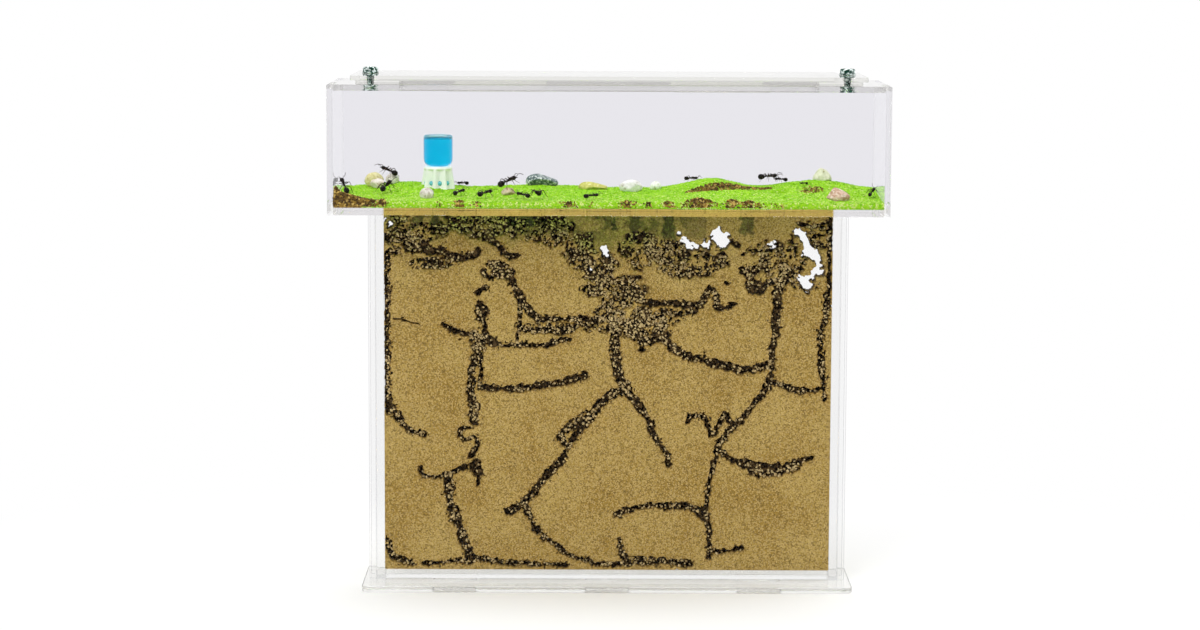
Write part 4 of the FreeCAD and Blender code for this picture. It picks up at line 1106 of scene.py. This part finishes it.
# ------------------------------------------------------------------ stones
# Stone: (low tone, high tone, tone of the flecks, share of flecks), then (rise of its back
# towards +X, narrowing upwards, how angular it is)
STONES = {
    "pebble_yellow": (((0.52, 0.46, 0.16), (0.78, 0.74, 0.40), (0.30, 0.15, 0.05), 0.2),
                      (0.0, 0.10, 0.22)),
    "pebble_rose_white": (((0.62, 0.52, 0.44), (0.86, 0.80, 0.73), (0.40, 0.22, 0.14), 0.35),
                          (0.1, 0.05, 0.50)),
    "pebble_white": (((0.60, 0.55, 0.46), (0.86, 0.82, 0.76), (0.45, 0.40, 0.30), 0.25),
                     (0.1, 0.05, 0.12)),
    "pebble_by_feeder": (((0.60, 0.54, 0.48), (0.86, 0.83, 0.80), (0.42, 0.34, 0.26), 0.35),
                         (0.0, 0.05, 0.12)),
    "pebble_beige": (((0.45, 0.30, 0.13), (0.76, 0.65, 0.48), (0.30, 0.17, 0.07), 0.35),
                     (0.35, 0.15, 0.85)),
    "pebble_dark_flat": (((0.035, 0.070, 0.072), (0.15, 0.21, 0.20), (0.66, 0.72, 0.68), 0.85),
                         (-0.30, 0.02, 0.75)),
    "pebble_olive": (((0.42, 0.42, 0.06), (0.66, 0.64, 0.17), (0.80, 0.80, 0.50), 0.35),
                     (-0.35, 0.05, 0.50)),
    "pebble_round_white": (((0.70, 0.69, 0.66), (0.90, 0.89, 0.87), (0.46, 0.40, 0.34), 0.25),
                           (0.05, 0.02, 0.25)),
    "pebble_small_pale": (((0.68, 0.76, 0.60), (0.88, 0.91, 0.82), (0.46, 0.48, 0.30), 0.25),
                          (0.0, 0.25, 0.30)),
    "pebble_pale_green": (((0.56, 0.58, 0.38), (0.80, 0.80, 0.62), (0.38, 0.36, 0.18), 0.3),
                          (-0.10, 0.30, 0.45)),
    "pebble_pink_brown": (((0.40, 0.21, 0.12), (0.74, 0.55, 0.43), (0.88, 0.80, 0.72), 0.5),
                          (-0.42, 0.10, 0.85)),
}


def build_stone(node, seed, look, rise, narrowing, angular):
    """A worn stone: a ball of even triangles flattened by a few broad facets, leaned and narrowed
    upwards, with soft noise all over it, fitted to its node's box."""
    low, high = box_mm(node)
    points, faces = ico_ball(4)
    dice = np.random.default_rng(seed)
    radius = np.ones(len(points))
    for _ in range(9):
        facing = dice.normal(size=3)
        facing /= np.linalg.norm(facing)
        reach = 1 - angular * dice.uniform(0.25, 0.60)
        along = points @ facing
        radius = np.minimum(radius, np.where(along > 0.05, reach / np.maximum(along, 0.05), 1e9))
    shape = points * radius[:, None]
    shape += points * (layered(tuple((shape + 5).T), 0.8, seed, 4) - 0.5)[:, None] * 0.16
    shape[:, 2] *= 1 + rise * shape[:, 0] * (shape[:, 2] > 0)
    shape[:, :2] *= 1 - narrowing * (shape[:, 2:] + 0.2)
    shape = (shape - shape.min(0)) / np.ptp(shape, axis=0)
    shape = low + shape * (high - low)
    finish = material(node, stone_look(*look))
    piece(node + "_stone", (shape, faces), "habitat", finish, node, (node,), 50)


for seed, (stone, (look, form)) in enumerate(STONES.items(), 200):
    build_stone(stone, seed, look, *form)


# ------------------------------------------------------------------ feeder
FLUTES = 9
PORT_HEIGHT = 2.4
PORT_RADIUS = 0.95
STAND_HEIGHT = stand_high[2] - stand_low[2]
STAND_FOOT_RADIUS = 7.5
STAND_TAPER = 1.6               # how much narrower the stand is at its deck than at its foot
NECK_LENGTH = 3.0
NECK_RADIUS = 3.2
NECK_BORE = 2.4
VIAL_RADIUS = 6.1
VIAL_BORE = 5.3


def rib_radius(share):
    """Radius of the stand's ribs at a share of its height: foot radius - taper * share^0.75."""
    return STAND_FOOT_RADIUS - STAND_TAPER * share**0.75


def build_feeder_stand():
    """A flared stand: its radius falls from the foot to the deck, and rounded flutes are taken out
    of it by a power of a cosine round the axis; a round dent in every flute holds a port."""
    foot, top = stand_low[2], stand_high[2]
    turn = np.linspace(0, 2 * math.pi, 361)
    rows = np.concatenate((np.linspace(0, STAND_HEIGHT - 1.5, 48),
                           STAND_HEIGHT - np.array((1.25, 1.0, 0.8))))
    rise, angle = np.meshgrid(rows, turn, indexing="ij")
    share = rise / STAND_HEIGHT
    ribs = rib_radius(share)
    scallop = (0.5 + 0.5 * np.cos(FLUTES * angle)) ** 0.75
    end_on = ramp(rise, STAND_HEIGHT - 0.9, STAND_HEIGHT - 1.9)
    radius = ribs - scallop * (1.75 - 0.75 * share) * end_on
    nearest = np.round(angle * FLUTES / (2 * math.pi)) * 2 * math.pi / FLUTES
    to_port = np.hypot((angle - nearest) * radius, rise - PORT_HEIGHT)
    radius -= 0.55 * ramp(to_port, 1.15, 0.75)
    side = np.stack((radius * np.cos(angle), radius * np.sin(angle), foot + rise), -1)
    profile = ((5.85, top - 0.45), (5.75, top - 0.15), (5.5, top), (3.5, top), (3.35, top - 0.15),
               (3.35, top - 3.15), (0, top - 3.15))
    caps = [np.stack((r * np.cos(turn), r * np.sin(turn), np.full(len(turn), z)), -1) for r, z in profile]
    under = [side[0] * (0, 0, 1), side[0] * (0.97, 0.97, 1)]
    grid = np.concatenate((np.array(under), side, np.array(caps))) + (feeder_x, feeder_y, 0)
    piece("feeder_stand_fluted", closed_surface(grid), "habitat", feeder_finish, "feeder_white",
          ("feeder_stand",), 40)
    drops = []
    reach = rib_radius(PORT_HEIGHT / STAND_HEIGHT) - 1.85
    for k in range(FLUTES):
        way = 2 * math.pi * k / FLUTES
        middle = (feeder_x + reach * math.cos(way), feeder_y + reach * math.sin(way), foot + PORT_HEIGHT)
        drops.append(closed_surface(ball(24, 13) * PORT_RADIUS + middle))
    piece("feeder_port_drops", joined(drops), "habitat", port_finish, "blue_liquid")


def rounded(profile, corner_sizes, steps=6):
    """A (radius, height) profile with its inner corners rounded by quarter-wave curves."""
    out = [profile[0]]
    for before, corner, after, size in zip(profile, profile[1:], profile[2:], corner_sizes):
        a, b, c = (np.array(p, float) for p in (before, corner, after))
        start = b + (a - b) / np.linalg.norm(a - b) * size
        end = b + (c - b) / np.linalg.norm(c - b) * size
        for t in np.linspace(0, 1, steps if size else 1):
            out.append((1 - t) ** 2 * start + 2 * t * (1 - t) * b + t * t * end)
    return out + [profile[-1]]


def build_vial():
    """The upturned vial: a lathed shell with a rounded shoulder, a thick domed end and a neck that
    is open below, and the liquid in it up to a little under the end."""
    seat, end = vial_low[2] + NECK_LENGTH, vial_high[2]
    lip, bore_lip = (NECK_RADIUS, seat - NECK_LENGTH), (NECK_BORE, seat - NECK_LENGTH)
    outside = rounded([lip, (NECK_RADIUS, seat), (VIAL_RADIUS, seat), (VIAL_RADIUS, end), (0, end)],
                      (0.3, 3.2, 1.2))
    inside = rounded([(0, end - 1.2), (VIAL_BORE, end - 1.1), (VIAL_BORE, seat + 0.8),
                      (NECK_BORE, seat + 0.8), bore_lip], (1.2, 2.6, 0.3))
    shell = lathe([lip] + outside[1:] + inside[:-1] + [bore_lip, lip], feeder_x, feeder_y)
    piece("feeder_vial_shell", shell, "vial", vial_finish, "vial_clear", ("feeder_vial",), 30)
    level = end - 1.12
    filling = rounded([(0, seat - 2.9), (2.45, seat - 2.9), (2.45, seat + 0.72), (5.38, seat + 0.72),
                       (5.38, level), (0, level)], (0.1, 0.3, 2.6, 0.9))
    liquid = lathe(filling, feeder_x, feeder_y)
    piece("feeder_liquid_filling", liquid, "vial", liquid_finish, "blue_liquid", ("feeder_liquid",), 40)


build_feeder_stand()
build_vial()


# ------------------------------------------------------------------ bolts and nuts
ACROSS_FLATS = 5.5
HEAD_HEIGHT = 2.0
FLANGE_SHEET = 0.5
FLANGE_RADIUS = 3.5
THREAD_PITCH = 0.5
BOLT_RADIUS = 1.5


def hexagon_reach(angle, across):
    """Distance from the middle to a hexagon's side at an angle, with a corner facing +X."""
    from_flat = angle % (math.pi / 3) - math.pi / 6
    return across / 2 / np.cos(from_flat)


def hexagon_rings(rows, x, turn):
    """Rings (share of the hexagon or a number of millimetres at most, height) round an axis."""
    rings = []
    for most, z in rows:
        radius = np.minimum(hexagon_reach(turn, ACROSS_FLATS - 0.04), most)
        rings.append(np.stack((x + radius * np.cos(turn), radius * np.sin(turn), np.full(len(turn), z)), -1))
    return rings


def build_bolt(name):
    """A bolt: a hexagon head chamfered by a cone on a round flange, a plain shank, and a thread
    whose radius goes in and out with a wave that climbs by one pitch a turn."""
    low, high = box_mm(name + "_bolt")
    nut_low, nut_high = box_mm(name + "_nut")
    x = (low[0] + high[0]) / 2
    turn = np.linspace(0, 2 * math.pi, 145)
    head_foot = high[2] - HEAD_HEIGHT
    foot = head_foot - FLANGE_SHEET
    head = hexagon_rings(((0, head_foot - 0.05), (9, head_foot - 0.05), (9, high[2] - 0.55),
                          (3.0, high[2] - 0.33), (2.8, high[2] - 0.15), (2.6, high[2] - 0.02),
                          (2.1, high[2]), (1.9, high[2] - 0.12), (0, high[2] - 0.12)), x, turn)
    rim = FLANGE_RADIUS - 0.02
    flange = lathe([(0, foot + 0.02), (rim - 0.1, foot + 0.02), (rim, foot + 0.12), (rim, head_foot - 0.14),
                    (rim - 0.12, head_foot - 0.02), (0, head_foot - 0.02)], x, 0)
    z, angle = np.meshgrid(np.linspace(low[2], foot + 0.05, 170), turn, indexing="ij")
    wave = np.abs(((z / THREAD_PITCH - angle / (2 * math.pi)) % 1) * 2 - 1)
    threaded = ramp(z, nut_high[2] + 1.4, nut_high[2] + 0.9)
    radius = BOLT_RADIUS - 0.02 - 0.26 * wave * threaded - 0.3 * ramp(z, low[2] + 0.35, low[2])
    shank = np.stack((x + radius * np.cos(angle), radius * np.sin(angle), z), -1)
    ends = [shank[:1] * (0, 0, 1) + (x, 0, 0), shank[-1:] * (0, 0, 1) + (x, 0, 0)]
    shank = closed_surface(np.concatenate((ends[0], shank, ends[1])))
    shapes = (closed_surface(np.array(head)), flange, shank)
    piece(name + "_bolt_threaded", joined(shapes), "habitat", steel, "bright_steel", (name + "_bolt",), 25)
    foot, top = nut_low[2] + 0.02, nut_high[2] - 0.02
    rings = hexagon_rings(((1.52, foot), (2.6, foot), (2.8, foot + 0.12), (9, foot + 0.45), (9, top - 0.45),
                           (2.8, top - 0.12), (2.6, top), (1.52, top), (1.52, foot)), x, turn)
    piece(name + "_nut_chamfered", closed_surface(np.array(rings)), "habitat", steel, "bright_steel",
          (name + "_nut",), 25)


build_bolt("pivot")
build_bolt("latch")


# ------------------------------------------------------------------ ants
# Place (x, y), way the head points in degrees from +X, upward pitch, body length, lift above the sand
ANTS = (
    (-110.6, 1.0, 122, 44, 8.6, -0.4), (-92.4, 13.6, 158, 20, 8.6, 3.0), (-92.3, -4.2, 62, 24, 8.6, 0.0),
    (-61.4, 24.0, 175, 0, 5.4, 0.0), (-61.9, -11.1, 46, 12, 6.8, 0.0), (-51.1, -15.7, 38, 10, 7.8, 0.0),
    (-42.0, -4.4, 30, 20, 9.6, 2.8), (-35.0, -19.0, 150, 8, 7.0, 0.0), (-29.1, -16.5, 262, 8, 8.2, 0.2),
    (-7.5, -20.8, 12, 5, 6.8, 0.0), (34.7, 21.0, 8, 0, 6.2, 0.1), (67.2, 21.5, 4, 4, 8.8, 1.6),
    (73.6, 22.5, 186, 4, 6.0, 0.2), (82.2, 6.0, 200, 0, 3.8, -0.2), (109.2, -9.0, 56, 30, 6.0, 0.0),
)


def turned(points, way, pitch):
    """Points pitched up about Y, then turned about Z, in degrees."""
    a, b = math.radians(way), math.radians(-pitch)
    about_y = np.array(((math.cos(b), 0, math.sin(b)), (0, 1, 0), (-math.sin(b), 0, math.cos(b))))
    about_z = np.array(((math.cos(a), -math.sin(a), 0), (math.sin(a), math.cos(a), 0), (0, 0, 1)))
    return points @ about_y.T @ about_z.T


def egg(middle, size, taper=0.0, rings=0.0):
    """An ant's body part: a ball narrowed towards +X, with shallow rings across it."""
    grid = ball(28, 25)[..., [2, 0, 1]]
    along = grid[..., :1]
    across = 1 - taper * along + rings * np.cos(along * 11)
    grid = np.concatenate((along, grid[..., 1:] * across), -1)
    return closed_surface(grid * size + middle)


def leg(start, knee, ankle, toe, thick):
    """A leg in one tube: a stout thigh, a thin shin and a foot as thin as a hair."""
    path = [start, (np.array(start) + knee) / 2 + (0, 0, 0.01), knee, (np.array(knee) + ankle) / 2, ankle,
            (np.array(ankle) + toe) / 2, toe]
    radii = np.array((0.7, 1.25, 0.7, 0.8, 0.5, 0.38, 0.3)) * thick
    line = smooth_line(path, 0.03)
    reach = np.linspace(0, 6, len(line))
    return tube(line, np.interp(reach, np.arange(7), radii), (0.2, 0.1, 1.0), 7)


def ant_shape(dice):
    """One ant of unit length, its head to +X and its feet at z = 0.  Returns the body's shape and
    the limbs' shape."""
    height = 0.21
    body = [
        egg((0.385, 0, height + 0.01), (0.118, 0.116, 0.096), -0.12),
        egg((0.235, 0, height + 0.025), (0.086, 0.074, 0.080)),
        egg((0.145, 0, height + 0.010), (0.078, 0.056, 0.062)),
        egg((0.060, 0, height), (0.072, 0.046, 0.048)),
        egg((-0.055, 0, height + 0.015), (0.026, 0.030, 0.052)),
        egg((-0.245, 0, height - 0.005), (0.172, 0.134, 0.132), 0.14, 0.010),
    ]
    limbs = [egg((0.30, 0, height), (0.04, 0.022, 0.022)), egg((-0.02, 0, height - 0.01), (0.05, 0.02, 0.02)),
             egg((-0.095, 0, height - 0.01), (0.05, 0.022, 0.022))]
    plan = ((0.235, 0.20, 0.17, 0.40, 0.37), (0.135, 0.13, 0.26, 0.08, 0.52),
            (0.050, -0.07, 0.24, -0.36, 0.50))
    for side in (-1, 1):
        limbs.append(egg((0.425, side * 0.085, height + 0.04), (0.026, 0.016, 0.026)))
        for hip_x, knee_x, knee_y, toe_x, toe_y in plan:
            sway = dice.uniform(-0.07, 0.07)
            toe = np.array((toe_x + sway, side * (toe_y + dice.uniform(-0.04, 0.05)), 0.0))
            knee = np.array((knee_x + sway * 0.5, side * knee_y, height + dice.uniform(0.07, 0.16)))
            ankle = knee + (toe - knee) * 0.66 + (0, 0, -0.03)
            limbs.append(leg((hip_x, side * 0.035, height - 0.03), knee, ankle, toe, 0.020))
        elbow = np.array((0.60, side * dice.uniform(0.15, 0.22), height + dice.uniform(0.06, 0.18)))
        tip = elbow + (dice.uniform(0.12, 0.22), side * dice.uniform(-0.04, 0.10), dice.uniform(-0.14, 0.10))
        feeler = np.array(((0.49, side * 0.045, height + 0.03),
                           (elbow + (0.5, side * 0.05, height)) / 2, elbow,
                           (elbow + tip) / 2 + (0, 0, 0.02), tip))
        feeler = smooth_line(feeler, 0.03)
        limbs.append(tube(feeler, np.full(len(feeler), 0.0125), (0.1, 0.2, 1.0), 6))
        jaw = np.array(((0.50, side * 0.045, height - 0.02), (0.555, side * 0.05, height - 0.03),
                        (0.585, side * 0.008, height - 0.035)))
        jaw = smooth_line(jaw, 0.02)
        limbs.append(tube(jaw, np.linspace(0.018, 0.006, len(jaw)), (0, 0, 1), 6))
    return joined(body), joined(limbs)


def build_ants():
    """Every ant stands at its place on the sand or on a stone, pitched with what it climbs."""
    for number, (x, y, way, pitch, length, lift) in enumerate(ANTS, 1):
        body, limbs = ant_shape(np.random.default_rng(300 + number))
        points, faces = joined((body, limbs))
        limb = np.concatenate((np.zeros(len(body[0])), np.ones(len(limbs[0]))))
        ground = bed_top(x, y) + 0.3 + lift
        points = turned(points * length, way, pitch)
        points[:, 2] -= points[:, 2].min() + 0.15 * length * math.sin(math.radians(pitch))
        points = points + (x, y, ground)
        points[:, 0], points[:, 1] = inside_bed(points[:, 0], points[:, 1], 0.1)
        piece(f"ant_{number:02d}", (points, faces), "habitat", ant_finish, "ant_black", (), 60,
              {"limb": limb})


build_ants()


# ------------------------------------------------------------------ stage, light and camera
def stage_floor():
    """A wide pale floor that takes the object's shadow and shows as white away from it."""
    mesh = bpy.data.meshes.new("floor")
    size = 60.0
    corners = [(-size, -size, 0), (size, -size, 0), (size, size, 0), (-size, size, 0)]
    mesh.from_pydata(corners, [], [(0, 1, 2, 3)])
    made = bpy.data.materials.new("floor_white")
    made.use_nodes = True
    S.tree = made.node_tree
    shader = S.tree.nodes["Principled BSDF"]
    shader.inputs["Base Color"].default_value = (0.9, 0.9, 0.9, 1)
    shader.inputs["Roughness"].default_value = 0.8
    spot = place()
    reach = S.math("SQRT", part_of(spot, 0) ** 2.0 * 0.6 + part_of(spot, 1) ** 2.0)
    eye, mirrored, bent = ray_kinds()
    seen = eye.most(bent)
    behind = part_of(spot, 1).step(-0.05, 0.25)
    front = part_of(spot, 1).step(-0.06, -0.20)
    level = 1.0 - mirrored * (0.98 - 0.8 * behind) - bent * front * 0.40
    white = S.node("Emission", None, Color=(1, 1, 1, 1), Strength=level)
    share = mirrored.most(bent * front).most(seen * reach.step(0.03, 0.26))
    to_surface(S.node("MixShader", None, Fac=share, n1=S(shader.outputs[0]), n2=S(white.outputs[0])))
    mesh.materials.append(made)
    floor = bpy.data.objects.new("floor", mesh)
    bpy.context.scene.collection.objects.link(floor)


def stage_world():
    """White all round for the eye; greyer towards the viewer's side for what shines or bends, so
    that clear edges show, with a dark screen at either side for bright metal to mirror; and a
    soft sky for the light that falls on things."""
    world = bpy.data.worlds.new("studio")
    bpy.context.scene.world = world
    world.use_nodes = True
    S.tree = world.node_tree
    S.tree.nodes.clear()
    way = S(S.node("TexCoord").outputs["Generated"])
    back = part_of(way, 1)
    up = part_of(way, 2)
    eye, mirrored, bent = ray_kinds()
    side = S.math("ABSOLUTE", part_of(way, 0))
    screens = side.step(0.20, 0.28) - side.step(0.62, 0.70)
    studio = (0.30 + 0.70 * back.step(0.0, 0.5).most(up.step(0.3, 0.8))) * (1.0 - 0.92 * screens)
    through = 0.80 + 0.20 * back.step(-0.2, 0.85)
    sky = 0.62 + 0.30 * up.step(-0.2, 1.0)
    level = eye + mirrored * studio + bent * through
    level = level + (1.0 - (eye + mirrored + bent).least(1.0)) * sky
    ground = S.node("Background", None, Color=(1, 1, 1, 1), Strength=level)
    out = S.node("OutputWorld")
    S.tree.links.new(ground.outputs[0], out.inputs["Surface"])


def area_light(name, place_m, towards, size, watts):
    """A rectangular lamp at a place in metres, turned towards a point."""
    data = bpy.data.lights.new(name, "AREA")
    data.shape = "RECTANGLE"
    data.size, data.size_y = size
    data.energy = watts
    lamp = bpy.data.objects.new(name, data)
    lamp.location = place_m
    lamp.rotation_euler = (Vector(towards) - Vector(place_m)).to_track_quat("-Z", "Y").to_euler()
    bpy.context.scene.collection.objects.link(lamp)


CAMERA_PLACE = (-0.0075, -1.2672, 0.2702)
CAMERA_TURNS = (0.1226, 0.0033, 0.0044)     # pitch down, turn to the right and roll, in radians
FILM_WIDTH_MM = 36.0
LENS_MM = 91.35


def stage_camera():
    """The camera at its place, turned by its pitch, its small yaw and its small roll."""
    pitch, yaw, roll = CAMERA_TURNS
    ahead = Vector((math.sin(yaw) * math.cos(pitch), math.cos(yaw) * math.cos(pitch), -math.sin(pitch)))
    right = Vector((math.cos(yaw), -math.sin(yaw), 0))
    up = right.cross(ahead)
    across = right * math.cos(roll) + up * math.sin(roll)
    upward = up * math.cos(roll) - right * math.sin(roll)
    data = bpy.data.cameras.new("camera")
    data.sensor_width = FILM_WIDTH_MM
    data.lens = LENS_MM
    camera = bpy.data.objects.new("camera", data)
    turn = Matrix((across, upward, -ahead)).transposed().to_4x4()
    camera.matrix_world = Matrix.Translation(CAMERA_PLACE) @ turn
    bpy.context.scene.collection.objects.link(camera)
    bpy.context.scene.camera = camera


stage_floor()
stage_world()
area_light("key", (-0.9, -1.3, 1.5), (0, 0, 0.12), (1.1, 1.1), 16.0)
area_light("top", (0.3, 0.2, 1.6), (0, 0, 0.16), (1.4, 0.9), 10.0)
stage_camera()
bpy.context.scene.view_settings.view_transform = "Standard"
SHEET_BOUNCES = 64              # light runs far along inside a clear sheet before it comes out
bpy.context.scene.cycles.transparent_max_bounces = 24
bpy.context.scene.cycles.transmission_bounces = SHEET_BOUNCES
bpy.context.scene.cycles.glossy_bounces = SHEET_BOUNCES
bpy.context.scene.cycles.max_bounces = SHEET_BOUNCES
